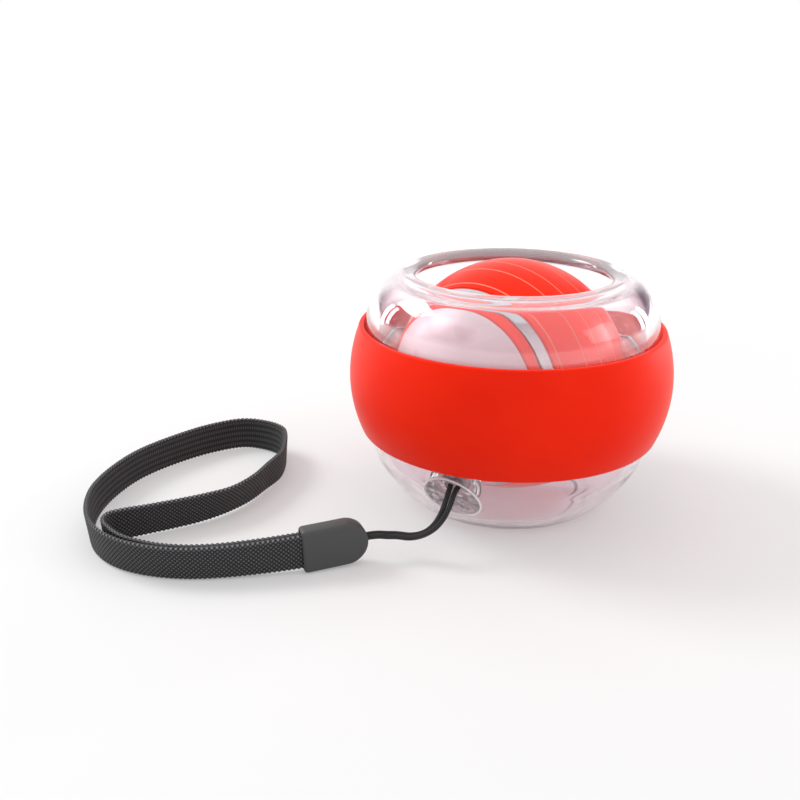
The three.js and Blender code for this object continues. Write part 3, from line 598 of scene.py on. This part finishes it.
# Pale colour on the drum's ridges: a painted highlight where the ridges catch the light
RIDGE_HIGHLIGHT = moulded_plastic("rotor_ridge_highlight", shade(252, 132, 108), 0.4)
WHITE = moulded_plastic("rotor_white", shade(218, 205, 209), 0.28, gloss=0.5, spread=0.015)
BRIGHT = turned_metal("bright_steel", (0.66, 0.68, 0.7), 0.2)
STEEL = turned_metal("steel", (0.5, 0.51, 0.53), 0.3)
SPRING = ground_metal("spring_steel", (0.2, 0.21, 0.24), 0.32)
BRASS = ground_metal("brass", (0.6, 0.45, 0.18), 0.35)
RING = moulded_plastic("ring_coral", shade(250, 150, 135), 0.4)
CAP = moulded_plastic("cap_plastic", shade(66, 66, 67), 0.55, grain=0.00003, spread=0.08)
# Each braid's second colour is the painted highlight on its yarns' crests; its gaps get painted shade
WEBBING = braid_graph("webbing", shade(32, 32, 33), shade(94, 94, 97), BRAID_CELL, STRAP_FLAT, STRAP_EDGE)
CORD = braid_graph("cord", shade(11, 11, 12), shade(72, 72, 74), CORD_CELL)


# Cords
def frames_along(points):
    """Each point's direction, and the level normal to its right."""
    ahead = np.gradient(points, axis=0)
    ahead /= np.linalg.norm(ahead, axis=1)[:, None]
    side = np.cross(ahead, (0, 0, 1))
    side /= np.linalg.norm(side, axis=1)[:, None]
    return ahead, side


def sweep(name, rings, uvs, materials, body, smooth_angle=70):
    """A closed tube through rings of points, with a UV map in millimetres."""
    count, size = len(rings), len(rings[0])
    verts = np.array(rings, float).reshape(-1, 3)
    faces, maps = [], []
    for i in range(count - 1):
        for j in range(size):
            k = (j + 1) % size
            faces.append((i * size + j, i * size + k, (i + 1) * size + k, (i + 1) * size + j))
            (s0, w0), (s1, w1) = uvs[i][j], uvs[i][k]
            (s2, w2), (s3, w3) = uvs[i + 1][k], uvs[i + 1][j]
            if k == 0:
                w1 = w2 = uvs[i][size]
            maps.extend(((s0, w0), (s1, w1), (s2, w2), (s3, w3)))
    faces.append(tuple(range(size))[::-1])
    maps.extend(uvs[0][:size][::-1])
    faces.append(tuple((count - 1) * size + j for j in range(size)))
    maps.extend(uvs[-1][:size])
    mesh = bpy.data.meshes.new(name)
    mesh.from_pydata(verts.tolist(), [], faces)
    layer = mesh.uv_layers.new(name="yarn")
    layer.data.foreach_set("uv", np.array(maps, np.float32).ravel())
    mesh.validate()
    solid = bmesh.new()
    solid.from_mesh(mesh)
    bmesh.ops.recalc_face_normals(solid, faces=solid.faces)
    solid.to_mesh(mesh)
    solid.free()
    return place_mesh(name, mesh, materials, smooth_angle, body)


STRAP_STEP = 0.18
BRAID_DEPTH = 0.1
RIB_DEPTH = 0.12
EDGE_DEPTH = 0.12


def strap_section(along):
    """The webbing's section at a distance along it: (across, through, distance round it), in millimetres.

    The face inside the loop has ribs along it and the face outside is a flat braid.
    """
    thick = STRAP_THICKNESS / 2
    section = []

    def edge(sign, start):
        for turn in np.linspace(-math.pi / 2, math.pi / 2, 9)[1:-1]:
            stitch = math.sin(2 * math.pi * along / EDGE_STITCH + 2 * turn)
            radius = thick + EDGE_DEPTH * (stitch - 0.4)
            across = STRAP_FLAT / 2 + radius * math.cos(turn)
            around = start + STRAP_EDGE * (0.5 + turn / math.pi)
            section.append((sign * across, sign * radius * math.sin(turn), around))

    for w in np.linspace(0, STRAP_FLAT, 41):
        rib = abs(math.sin(math.pi * RIB_COUNT * w / STRAP_FLAT)) ** RIB_ROUNDNESS
        section.append((w - STRAP_FLAT / 2, -thick + RIB_DEPTH * (1 - rib), w))
    edge(1, STRAP_FLAT)
    for w in np.linspace(0, STRAP_FLAT, 37):
        around = STRAP_FLAT + STRAP_EDGE + w
        rising = math.sin(math.pi * (along + around) / BRAID_CELL)
        weave = rising * math.sin(math.pi * (along - around) / BRAID_CELL)
        section.append((STRAP_FLAT / 2 - w, thick - BRAID_DEPTH * (0.6 - abs(weave)), around))
    edge(-1, 2 * STRAP_FLAT + STRAP_EDGE)
    return section


def wrist_strap():
    low = REST_GAP * MM + STRAP_WIDTH / 2 * MM
    high = REST_GAP * MM + CAP_HEIGHT / 2 * MM
    last = len(STRAP_ROUTE) - 1
    route = []
    for i, ((x, y), lean) in enumerate(zip(STRAP_ROUTE, STRAP_LEAN)):
        from_cap = min(i, last - i)
        share = STRAP_LIFT_SHARES[from_cap] if from_cap < len(STRAP_LIFT_SHARES) else 0
        route.append((x, y, low + share * (high - low), math.radians(lean) * MM))
    path = spline(route, 4000)
    length = np.linalg.norm(np.diff(path[:, :3], axis=0), axis=1).sum()
    points = spline(route, int(length / MM / STRAP_STEP))
    _, side = frames_along(points[:, :3])
    step = length / MM / (len(points) - 1)
    rings, uvs = [], []
    for i, (point, out) in enumerate(zip(points, side)):
        lean = point[3] / MM
        up = math.cos(lean) * np.array((0, 0, 1)) - math.sin(lean) * out
        through = math.cos(lean) * out + math.sin(lean) * np.array((0, 0, 1))
        section = strap_section(i * step)
        rings.append([point[:3] + (a * up - t * through) * MM for a, t, _ in section])
        uvs.append([(i * step, u) for _, _, u in section] + [2 * STRAP_FLAT + 2 * STRAP_EDGE])
    piece = sweep("wrist_strap_webbing", rings, uvs, [WEBBING], "shell")
    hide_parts("wrist_strap")
    return piece, [p[:3] for p in route], length


CORD_STEP = 0.16
CORD_SIDES = 20
CORD_BRAID_DEPTH = 0.045


def lanyard_cord():
    dense = spline(CORD_ROUTE, 2000)
    length = np.linalg.norm(np.diff(dense, axis=0), axis=1).sum()
    points = spline(CORD_ROUTE, int(length / MM / CORD_STEP))
    ahead, side = frames_along(points)
    step = length / MM / (len(points) - 1)
    girth = 2 * math.pi * CORD_RADIUS
    cells = round(girth / CORD_CELL)
    rings, uvs = [], []
    for i, (point, forward, out) in enumerate(zip(points, ahead, side)):
        up = np.cross(out, forward)
        ring, uv = [], []
        for j in range(CORD_SIDES):
            share = j / CORD_SIDES
            around = share * girth
            rising = math.sin(math.pi * (i * step / CORD_CELL + cells * share))
            weave = rising * math.sin(math.pi * (i * step / CORD_CELL - cells * share))
            radius = (CORD_RADIUS - CORD_BRAID_DEPTH + CORD_BRAID_DEPTH * 1.6 * abs(weave)) * MM
            angle = share * 2 * math.pi
            ring.append(point + radius * (math.cos(angle) * out + math.sin(angle) * up))
            uv.append((i * step, around * cells * CORD_CELL / girth))
        rings.append(ring)
        uvs.append(uv + [cells * CORD_CELL])
    piece = sweep("lanyard_cord_braid", rings, uvs, [CORD], "shell")
    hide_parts("lanyard_cord")
    return piece, length


def cut_with(piece, cutters, operation="DIFFERENCE"):
    """Cuts the piece with each cutter, or joins each to it, and removes the cutters."""
    for cutter in cutters:
        modifier = piece.modifiers.new("cut", "BOOLEAN")
        modifier.operation = operation
        modifier.solver = "EXACT"
        modifier.material_mode = "INDEX"
        modifier.object = cutter
    bpy.context.view_layer.update()
    result = bpy.data.meshes.new_from_object(piece.evaluated_get(bpy.context.evaluated_depsgraph_get()))
    piece.modifiers.clear()
    old = piece.data
    piece.data = result
    bpy.data.meshes.remove(old)
    for cutter in cutters:
        bpy.data.objects.remove(cutter)
    return piece


def loose(mesh_data, name="cutter", slot=0):
    """A mesh as an object of its own, all of whose faces have one material slot."""
    for face in mesh_data.faces:
        face.material_index = slot
    mesh = bpy.data.meshes.new(name)
    mesh_data.to_mesh(mesh)
    mesh_data.free()
    piece = bpy.data.objects.new(name, mesh)
    bpy.context.scene.collection.objects.link(piece)
    return piece


def box_mesh(size, centre, place=Matrix.Identity(4), bevel=0.0):
    mesh = bmesh.new()
    bmesh.ops.create_cube(mesh, size=1)
    bmesh.ops.scale(mesh, vec=Vector(size) * MM, verts=mesh.verts)
    if bevel:
        bmesh.ops.bevel(mesh, geom=mesh.edges[:], offset=bevel * MM, segments=3, profile=0.5, affect="EDGES")
    bmesh.ops.translate(mesh, vec=Vector(centre) * MM, verts=mesh.verts)
    mesh.transform(place)
    return mesh


def strap_cap():
    """A plate on edge with a round end and eased edges, a mouth for the webbing and a socket for the cord."""
    half = CAP_HEIGHT / 2
    turns = np.linspace(-math.pi / 2, math.pi / 2, 40)
    arc = [(CAP_LENGTH - half + half * math.cos(a), half * math.sin(a)) for a in turns]
    turns = np.linspace(0, math.pi / 2, 6)
    left = [(CAP_CORNER * (1 - math.sin(a)), half - CAP_CORNER * (1 - math.cos(a))) for a in turns]
    outline = arc + left + [(x, -y) for x, y in left[::-1]]
    depth = CAP_THICKNESS / 2
    mesh = bmesh.new()
    rings = []
    for k in range(-CAP_EASE_STEPS, CAP_EASE_STEPS + 1):
        turn = abs(k) / CAP_EASE_STEPS * math.pi / 2
        setback = CAP_EASE * (1 - math.cos(turn))
        through = math.copysign(depth - CAP_EASE + CAP_EASE * math.sin(turn), k) if k else 0
        ring = []
        for i, point in enumerate(outline):
            before, after = np.array(outline[i - 1]), np.array(outline[(i + 1) % len(outline)])
            tangent = after - before
            inward = np.array((-tangent[1], tangent[0])) / np.linalg.norm(tangent)
            x, z = np.array(point) + inward * setback
            ring.append(mesh.verts.new((x * MM, through * MM, z * MM)))
        rings.append(ring)
    for low, high in zip(rings, rings[1:]):
        for i in range(len(outline)):
            j = (i + 1) % len(outline)
            mesh.faces.new((low[i], low[j], high[j], high[i]))
    mesh.faces.new(rings[0][::-1])
    mesh.faces.new(rings[-1])
    bmesh.ops.recalc_face_normals(mesh, faces=mesh.faces)
    place = Matrix.Translation((CAP_START[0] * MM, CAP_START[1] * MM, (REST_GAP + CAP_HEIGHT / 2) * MM))
    place = place @ Matrix.Rotation(CAP_HEADING, 4, "Z") @ Matrix.Rotation(-CAP_TILT, 4, "Y")
    mesh.transform(place)
    piece = finish_mesh("strap_cap_moulding", mesh, [CAP], 40, "shell")
    mouth = loose(box_mesh(MOUTH_SIZE, (0, 0, 0), place, OPENING_ROUND))
    socket = loose(box_mesh(SOCKET_SIZE, (CAP_LENGTH, 0, 0), place, OPENING_ROUND))
    cut_with(piece, [mouth, socket])
    piece.data.shade_smooth()
    piece.data.set_sharp_from_angle(angle=math.radians(40))
    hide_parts("strap_cap")
    return piece


strap, strap_path, strap_length = wrist_strap()
cord, cord_length = lanyard_cord()
cap = strap_cap()


# Shells and grip
def bulge(full, edge_radius, edge_height, start, end, steps):
    heights = np.linspace(start, end, steps + 1)
    return [(full - (full - edge_radius) * (h / edge_height) ** 2, h) for h in heights]


def mix(low, high, share):
    return low + (high - low) * share


def rim_mark(point):
    """The upper shell's material slot at a point of its outline, by the distance from the rim's crest."""
    reach = max(CREST - point[1], point[0] - CREST_RADIUS)
    steps = [k + 1 for k, (end, _) in enumerate(RIM_STEPS) if reach < end]
    return steps[0] if steps else 0


def upper_shell():
    shoulder = [
        (mix(CREST_RADIUS, SEAT_TOP_RADIUS, out), mix(BAND_TOP, CREST, up)) for out, up in SHOULDER_SHARES
    ]
    side = bulge(SHELL_RADIUS, SEAT_TOP_RADIUS, BAND_TOP, -LAP_REACH, BAND_TOP, SIDE_STEPS)
    over = spline([side[-3], side[-1], *shoulder, (CREST_RADIUS, CREST)], 48)
    above_ledge = [p for p in side[:-3] if p[1] > LEDGE_TOP + WALL / 2]
    inside = inset([*above_ledge, *over], WALL)[::-1]
    lip = spline([
        over[-3], over[-1],
        (mix(MOUTH_RADIUS, CREST_RADIUS, 0.35), CREST - LIP_DROP / 4),
        (MOUTH_RADIUS, CREST - LIP_DROP),
        (MOUTH_RADIUS + LIP_DROP / 4, CREST - 2 * LIP_DROP),
        inside[0], inside[2],
    ], 40)
    ledge = spline([
        inside[-3], inside[-1], (mix(LEDGE_RADIUS, SHELL_RADIUS - WALL, 0.8), LEDGE_TOP + WALL / 4),
        (LEDGE_RADIUS + WALL / 2, LEDGE_TOP), (LEDGE_RADIUS + WALL / 4, LEDGE_TOP),
    ], 16)
    race = rounded([
        (LEDGE_RADIUS, LEDGE_TOP), (LEDGE_RADIUS, CHANNEL_HALF), (CHANNEL_RADIUS, CHANNEL_HALF),
        (CHANNEL_RADIUS, RACE_HALF), (LAP_OUTER, RACE_HALF), (LAP_OUTER, -LAP_REACH),
    ], EDGE_ROUND, 2)
    outside = [*side[:-3], *over[:-3], *lip[:-1]]
    outline = [*outside, *inside[2:-3], *ledge, *race]
    marks = [rim_mark(p) for p in outside] + [0] * (len(outline) - len(outside))
    piece = turned(
        "upper_shell_clear", outline, [CLEAR, *CLEAR_RIM], "upper_shell", "shell", marks,
        facets=SHELL_FACETS, smooth_angle=42,
    )


DISH_SCALE = Matrix.Diagonal((*(s * MM for s in DISH_SIZE), 1))
DISH_SPHERE = DISH_PLACE @ Matrix.Rotation(DISH_ROLL, 4, "Z") @ DISH_SCALE
EYE_SLOT, BEAD_SLOT = 1, 2


def eye_cutters():
    """The dish, the cord's hole, and the chamber behind it round the moulded pin."""
    dish = bmesh.new()
    bmesh.ops.create_uvsphere(dish, u_segments=96, v_segments=48, radius=1)
    dish.transform(DISH_SPHERE)
    throat = box_mesh(THROAT_SIZE, (0, 0, -THROAT_SIZE[2] / 2), EYE_PLACE, THROAT_ROUND)
    chamber = loose(box_mesh(CHAMBER_SIZE, (0, 0, -CHAMBER_SETBACK), EYE_PLACE, CHAMBER_ROUND), slot=EYE_SLOT)
    pin = bmesh.new()
    radius = PIN_RADIUS * MM
    bmesh.ops.create_cone(
        pin, cap_ends=True, segments=32, radius1=radius, radius2=radius, depth=PIN_LENGTH * MM)
    behind = Matrix.Translation((0, 0, -PIN_SETBACK * MM))
    pin.transform(EYE_PLACE @ behind @ Matrix.Rotation(math.pi / 2, 4, "X"))
    cut_with(chamber, [loose(pin, slot=EYE_SLOT)])
    return [loose(dish, slot=EYE_SLOT), loose(throat, slot=EYE_SLOT), chamber]


def eye_boss():
    """Domed inner wall round the eye's chamber."""
    turns = np.linspace(0, math.pi / 2, 25)
    arc = [(math.cos(a), -BOSS_SETBACK - BOSS_SIZE[2] * math.sin(a)) for a in turns]
    dome = revolve([(0, -BOSS_SETBACK), *arc[:-1], (0, arc[-1][1])], 96)
    dome.transform(EYE_PLACE @ Matrix.Diagonal((BOSS_SIZE[0], BOSS_SIZE[1], 1, 1)))
    return loose(dome)


def dish_bead(outline):
    """Thin moulded bead along the edge that the dish leaves in the shell. Its pale milky finish is a painted
    highlight.
    """
    heights, radii = zip(*sorted((p[1], p[0]) for p in outline))
    points = []
    for around in np.linspace(0, 2 * math.pi, BEAD_STEPS, endpoint=False):
        low, high = 0.0, math.pi * 0.75
        for _ in range(20):
            polar = (low + high) / 2
            wide = math.sin(polar)
            point = DISH_SPHERE @ Vector((wide * math.cos(around), wide * math.sin(around), -math.cos(polar)))
            height = point.z / MM - MIDDLE_HEIGHT
            if math.hypot(point.x, point.y) / MM < np.interp(height, heights, radii):
                low = polar
            else:
                high = polar
        points.append(point)
    ahead, side = frames_along(np.array([points[-1], *points, points[0]]))
    bead_highlight = bmesh.new()
    rings = []
    for point, forward, out in zip(points, ahead[1:], side[1:]):
        up = np.cross(out, forward)
        turns = np.linspace(0, 2 * math.pi, BEAD_SIDES, endpoint=False)
        ring = [np.array(point) + BEAD_RADIUS * MM * (math.cos(a) * out + math.sin(a) * up) for a in turns]
        rings.append([bead_highlight.verts.new(p) for p in ring])
    for i in range(len(rings)):
        one, two = rings[i - 1], rings[i]
        for j in range(len(one)):
            bead_highlight.faces.new((one[j], one[j - 1], two[j - 1], two[j]))
    bmesh.ops.recalc_face_normals(bead_highlight, faces=bead_highlight.faces)
    return loose(bead_highlight, slot=BEAD_SLOT)


def lower_shell():
    haunch = [
        (mix(FOOT_RADIUS, SEAT_BOTTOM_RADIUS, out), mix(BAND_BOTTOM, -MIDDLE_HEIGHT, down))
        for out, down in HAUNCH_SHARES
    ]
    floor_top = FOOT_RECESS + FLOOR_WALL - MIDDLE_HEIGHT
    side = bulge(SHELL_RADIUS, SEAT_BOTTOM_RADIUS, BAND_BOTTOM, -RACE_HALF, BAND_BOTTOM, SIDE_STEPS)
    outside = spline([side[-3], side[-1], *haunch, (FOOT_RADIUS, -MIDDLE_HEIGHT)], 72)
    foot = rounded([
        tuple(outside[-2]), (FOOT_RADIUS, -MIDDLE_HEIGHT, FOOT_ROUND),
        (FOOT_RECESS_RADIUS + FOOT_RECESS, -MIDDLE_HEIGHT, RECESS_ROUND),
        (FOOT_RECESS_RADIUS, FOOT_RECESS - MIDDLE_HEIGHT, RECESS_ROUND), (0, FOOT_RECESS - MIDDLE_HEIGHT, 0),
    ], 0.0, 4)[1:]
    below_ledge = [p for p in side[:-3] if p[1] < -LEDGE_TOP - WALL / 2]
    steep = [p for p in outside if p[0] > FOOT_RADIUS + WALL]
    wall = inset([*below_ledge, *steep], -HAUNCH_WALL)[::-1]
    fillet = spline([
        (0, floor_top), (FOOT_RECESS_RADIUS / 2, floor_top),
        (FOOT_RECESS_RADIUS - WALL / 2, floor_top + FLOOR_WALL / 20),
        (mix(FOOT_RECESS_RADIUS, wall[0][0], 0.55), mix(floor_top, wall[0][1], 0.35)), wall[0], wall[2],
    ], 40)
    ledge = spline([
        wall[-3], wall[-1], (mix(LEDGE_RADIUS, SHELL_RADIUS - WALL, 0.8), -LEDGE_TOP - WALL / 4),
        (LEDGE_RADIUS + WALL / 2, -LEDGE_TOP), (LEDGE_RADIUS + WALL / 4, -LEDGE_TOP),
    ], 16)
    race = rounded([
        (LEDGE_RADIUS, -LEDGE_TOP), (LEDGE_RADIUS, -CHANNEL_HALF), (CHANNEL_RADIUS, -CHANNEL_HALF),
        (CHANNEL_RADIUS, -RACE_HALF), (RACE_RADIUS, -RACE_HALF), (RACE_RADIUS, LAP_REACH),
        (LAP_INNER, LAP_REACH), (LAP_INNER, -RACE_HALF),
    ], EDGE_ROUND, 2)
    outline = [*fillet[:-1], *wall[2:-3], *ledge, *race, *side[:-3], *outside[:-1], *foot]
    piece = turned(
        "lower_shell_clear", outline, [CLEAR_LOWER, CLEAR_FACETS, CLEAR_EDGE_HIGHLIGHT], "lower_shell", "shell",
        facets=SHELL_FACETS, smooth_angle=42,
    )
    cut_with(piece, [eye_boss()], "UNION")
    cut_with(piece, eye_cutters())
    cut_with(piece, [dish_bead([*side, *outside])], "UNION")
    piece.data.shade_smooth()
    piece.data.set_sharp_from_angle(angle=math.radians(32))


def grip_band():
    seat = SHELL_RADIUS + SEAT_GAP
    inner = bulge(seat, SEAT_BOTTOM_RADIUS + SEAT_GAP, BAND_BOTTOM, BAND_BOTTOM, 0, BAND_STEPS)
    inner += bulge(seat, SEAT_TOP_RADIUS + SEAT_GAP, BAND_TOP, 0, BAND_TOP, BAND_STEPS)[1:]
    outer = bulge(BALL_RADIUS, BAND_TOP_RADIUS, BAND_TOP, BAND_TOP, 0, BAND_STEPS)
    outer += bulge(BALL_RADIUS, BAND_BOTTOM_RADIUS, BAND_BOTTOM, 0, BAND_BOTTOM, BAND_STEPS)[1:]
    inner_ends = (0, len(inner) - 1)
    outer_ends = (len(inner), len(inner) + len(outer) - 1)
    rounds = {**dict.fromkeys(inner_ends, BAND_INNER_ROUND), **dict.fromkeys(outer_ends, BAND_OUTER_ROUND)}
    corners = [(r, h, rounds.get(i, 0.0)) for i, (r, h) in enumerate([*inner, *outer])]
    outline = rounded(corners, 0.0, 6)
    piece = turned(
        "grip_band_silicone", outline, [GRIP], "grip_band", "shell", facets=SHELL_FACETS, smooth_angle=60)


# Rotor
def rotor_drum():
    outside, marks = [], []
    edge_radius = math.sqrt(ROTOR_RADIUS**2 - DRUM_HALF**2) - DRUM_EDGE_DROP

    def add(points, mark):
        for p in points:
            outside.append(p)
            marks.append(mark)

    add([(edge_radius, -DRUM_HALF)], 0)
    start = -DRUM_HALF + DRUM_EDGE_WIDTH
    for offset in sorted([-o for o in RIDGE_OFFSETS] + list(RIDGE_OFFSETS)):
        half = RIDGE_WIDTH / 2
        add(sphere_curve(start, offset - half, 8)[:-1], 0)
        low = math.sqrt(ROTOR_RADIUS**2 - offset**2)
        # Each ridge gets slot 1, the pale painted highlight
        add([(math.sqrt(ROTOR_RADIUS**2 - (offset - half) ** 2), offset - half)], 1)
        for share in RIDGE_SHARES:
            add([(low - RIDGE_DEPTH * (1 - share**2) * 0.6, offset + share * half)], 1)
        start = offset + half
    add(sphere_curve(start, DRUM_HALF - DRUM_EDGE_WIDTH, 8), 0)
    add([(edge_radius, DRUM_HALF)], 0)
    add([
        (DRUM_BORE, DRUM_HALF), (DRUM_BORE, -COVER_START), (WEB_BORE, -COVER_START), (WEB_BORE, -COVER_END),
        (DRUM_BORE, -COVER_END), (DRUM_BORE, -DRUM_HALF),
    ], 0)
    piece = turned("rotor_drum_shell", outside, [RED, RIDGE_HIGHLIGHT], "rotor_drum", "rotor", marks, side=1)


def rotor_side(name, side):
    barrel = DRUM_BORE - SEAT_GAP
    ring = rounded([
        (WEIGHT_BORE, BARREL_START), (barrel, BARREL_START), (barrel, RING_FACE_START),
        *sphere_curve(RING_FACE_START, RING_FACE_END, 6), (WEIGHT_BORE, RING_FACE_END),
    ], EDGE_ROUND, 3)
    piece = turned(f"weight_ring_{name}_steel", ring, [BRIGHT], f"weight_ring_{name}", "rotor", side=side)
    plate = rounded([
        *sphere_curve(PLATE_END, PLATE_START, 6), (BOSS_RADIUS, PLATE_START), (BOSS_RADIUS, BEARING_START),
        (BEARING_SEAT, BEARING_START), (BEARING_SEAT, BEARING_END + SEAT_GAP),
        (CLIP_BORE, BEARING_END + SEAT_GAP), (CLIP_BORE, PLATE_END),
    ], EDGE_ROUND, 3)
    piece = turned(f"side_plate_{name}_red", plate, [RED], f"side_plate_{name}", "rotor", side=side)
    flat = math.sqrt(ROTOR_RADIUS**2 - DOME_FLAT_RADIUS**2)
    outer = [(r, h, 0.0) for r, h in sphere_curve(DOME_START, flat, 40)]
    for end in (0, -1):
        outer[end] = (*outer[end][:2], DOME_EDGE_ROUND)
    hole = [(AXLE_HOLE, flat, 0.2), (AXLE_HOLE, flat - DOME_WALL, 0.1)]
    inner = sphere_curve(DOME_START, flat - DOME_WALL, 24, ROTOR_RADIUS - DOME_WALL)[::-1]
    dome = rounded([*outer, *hole, *inner], 0.0, 4)
    piece = turned(
        f"end_cap_{name}_dome", dome, [WHITE], f"end_cap_{name}", "rotor", side=side, smooth_angle=25)


upper_shell()
lower_shell()
grip_band()
rotor_drum()
for side_name, side_sign in (("left", 1), ("right", -1)):
    rotor_side(side_name, side_sign)

# Small parts keep their solids and get their finish.
FINISHES = {
    "gimbal_ring": RING, "axle_bush": RING, "axle": STEEL, "retaining_clip": SPRING, "bearing_inner": STEEL,
    "bearing_outer": STEEL, "bearing_cage": BRASS, "spring_arbor": STEEL, "clutch_roller": STEEL,
    "start_spring": SPRING, "spring_cover": STEEL, "rotor_screw": STEEL,
}
for node_name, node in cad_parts.items():
    keys = [key for key in FINISHES if node_name.startswith(key)]
    if keys:
        finish = FINISHES[max(keys, key=len)]
        node.data.materials.clear()
        node.data.materials.append(finish)


# Stage
FLOOR_COLOUR = 0.56
FLOOR_GLOW = 0.25
FLOOR_RADIUS = 8.0
WHITE_START, WHITE_END = 0.14, 0.45


def make_floor():
    """A white floor that keeps the shadow near the object and is plain white further away.

    Its glow is seen directly, in gloss and through clear plastic, and falls on nothing.
    """
    g = Graph("floor_white")
    diffuse = g.node("BsdfDiffuse")
    diffuse.inputs["Color"].default_value = (FLOOR_COLOUR, FLOOR_COLOUR, FLOOR_COLOUR, 1)
    glow = g.node("Emission")
    path = g.node("LightPath")
    seen = g.math("MAXIMUM", path.outputs["Is Camera Ray"],
                  g.math("MAXIMUM", path.outputs["Is Glossy Ray"], path.outputs["Is Transmission Ray"]))
    distance = g.node("VectorMath", operation="LENGTH")
    g.link(g.place(), distance.inputs[0])
    fade = g.node("MapRange", interpolation_type="SMOOTHSTEP")
    g.link(distance.outputs["Value"], fade.inputs["Value"])
    inputs = {"From Min": WHITE_START, "From Max": WHITE_END, "To Min": FLOOR_GLOW, "To Max": 1.0}
    for key, value in inputs.items():
        fade.inputs[key].default_value = value
    g.link(g.math("MULTIPLY", seen, fade.outputs[0]), glow.inputs["Strength"])
    both = g.node("AddShader")
    g.link(diffuse.outputs[0], both.inputs[0])
    g.link(glow.outputs[0], both.inputs[1])
    g.link(both.outputs[0], g.output.inputs["Surface"])
    mesh = bmesh.new()
    bmesh.ops.create_circle(mesh, cap_ends=True, segments=64, radius=FLOOR_RADIUS)
    piece = loose(mesh, "floor")
    piece.data.materials.append(g.material)


ROOM_LIGHT = 1.0
FLAG_COLOUR = (0.16, 0.11, 0.15)
# Each flag's direction, and the cosines from its middle at which it starts and is at its darkest
FLAGS = (
    ((0.75, 0.62, 0.1), 0.88, 0.97),
    ((-0.75, 0.62, 0.1), 0.88, 0.97),
    ((-0.75, -0.5, 0.4), 0.93, 0.98),
)


def make_world():
    """A white room with dark studio flags, unseen by the camera, for the clear plastic's edges."""
    world = bpy.data.worlds.new("studio")
    bpy.context.scene.world = world
    world.use_nodes = True
    tree = world.node_tree
    tree.nodes.clear()

    def node(kind):
        return tree.nodes.new("ShaderNode" + kind)

    def join(operation, *values):
        n = node("Math")
        n.operation = operation
        for value, socket in zip(values, n.inputs):
            if isinstance(value, (int, float)):
                socket.default_value = value
            else:
                tree.links.new(value, socket)
        return n.outputs[0]

    place = node("TexCoord").outputs["Generated"]
    light = None
    for direction, edge, core in FLAGS:
        dot = node("VectorMath")
        dot.operation = "DOT_PRODUCT"
        tree.links.new(place, dot.inputs[0])
        dot.inputs[1].default_value = Vector(direction).normalized()
        fade = node("MapRange")
        tree.links.new(dot.outputs["Value"], fade.inputs["Value"])
        for key, value in (("From Min", edge), ("From Max", core), ("To Min", 1.0), ("To Max", 0.0)):
            fade.inputs[key].default_value = value
        light = fade.outputs[0] if light is None else join("MULTIPLY", light, fade.outputs[0])
    back = node("Background")
    back.inputs["Strength"].default_value = ROOM_LIGHT
    tint = node("Mix")
    tint.data_type = "RGBA"
    tree.links.new(join("MAXIMUM", light, node("LightPath").outputs["Is Camera Ray"]), tint.inputs["Factor"])
    tint.inputs[6].default_value = (*FLAG_COLOUR, 1)
    tint.inputs[7].default_value = (1, 1, 1, 1)
    tree.links.new(tint.outputs[2], back.inputs["Color"])
    out = node("OutputWorld")
    tree.links.new(back.outputs[0], out.inputs["Surface"])


def softbox(name, direction, distance, width, height, power, target=(0, 0, 0.02)):
    data = bpy.data.lights.new(name, "AREA")
    data.shape = "RECTANGLE"
    data.size, data.size_y = width, height
    data.energy = power
    lamp = bpy.data.objects.new(name, data)
    bpy.context.scene.collection.objects.link(lamp)
    ray = Vector(direction).normalized()
    lamp.location = Vector(target) + ray * distance
    lamp.rotation_euler = ray.to_track_quat("Z", "Y").to_euler()
    lamp.visible_camera = False
    return lamp


BALL_TOP = (0, 0, 0.045)

make_floor()
make_world()
softbox("key", (-0.72, 0.28, 0.62), distance=0.8, width=0.3, height=0.3, power=3.0)
fill = softbox("fill", (0.9, -0.27, 0.34), distance=0.8, width=0.4, height=0.4, power=1.0)
fill.visible_glossy = False
softbox("left_strip", (-0.82, 0.5, 0.12), distance=0.6, width=0.05, height=0.3, power=0.5, target=BALL_TOP)
softbox("right_strip", (0.92, 0.45, 0.12), distance=0.6, width=0.05, height=0.3, power=0.9, target=BALL_TOP)

bpy.context.scene.view_settings.view_transform = "Standard"
bpy.context.scene.cycles.max_bounces = 32
bpy.context.scene.cycles.transmission_bounces = 32
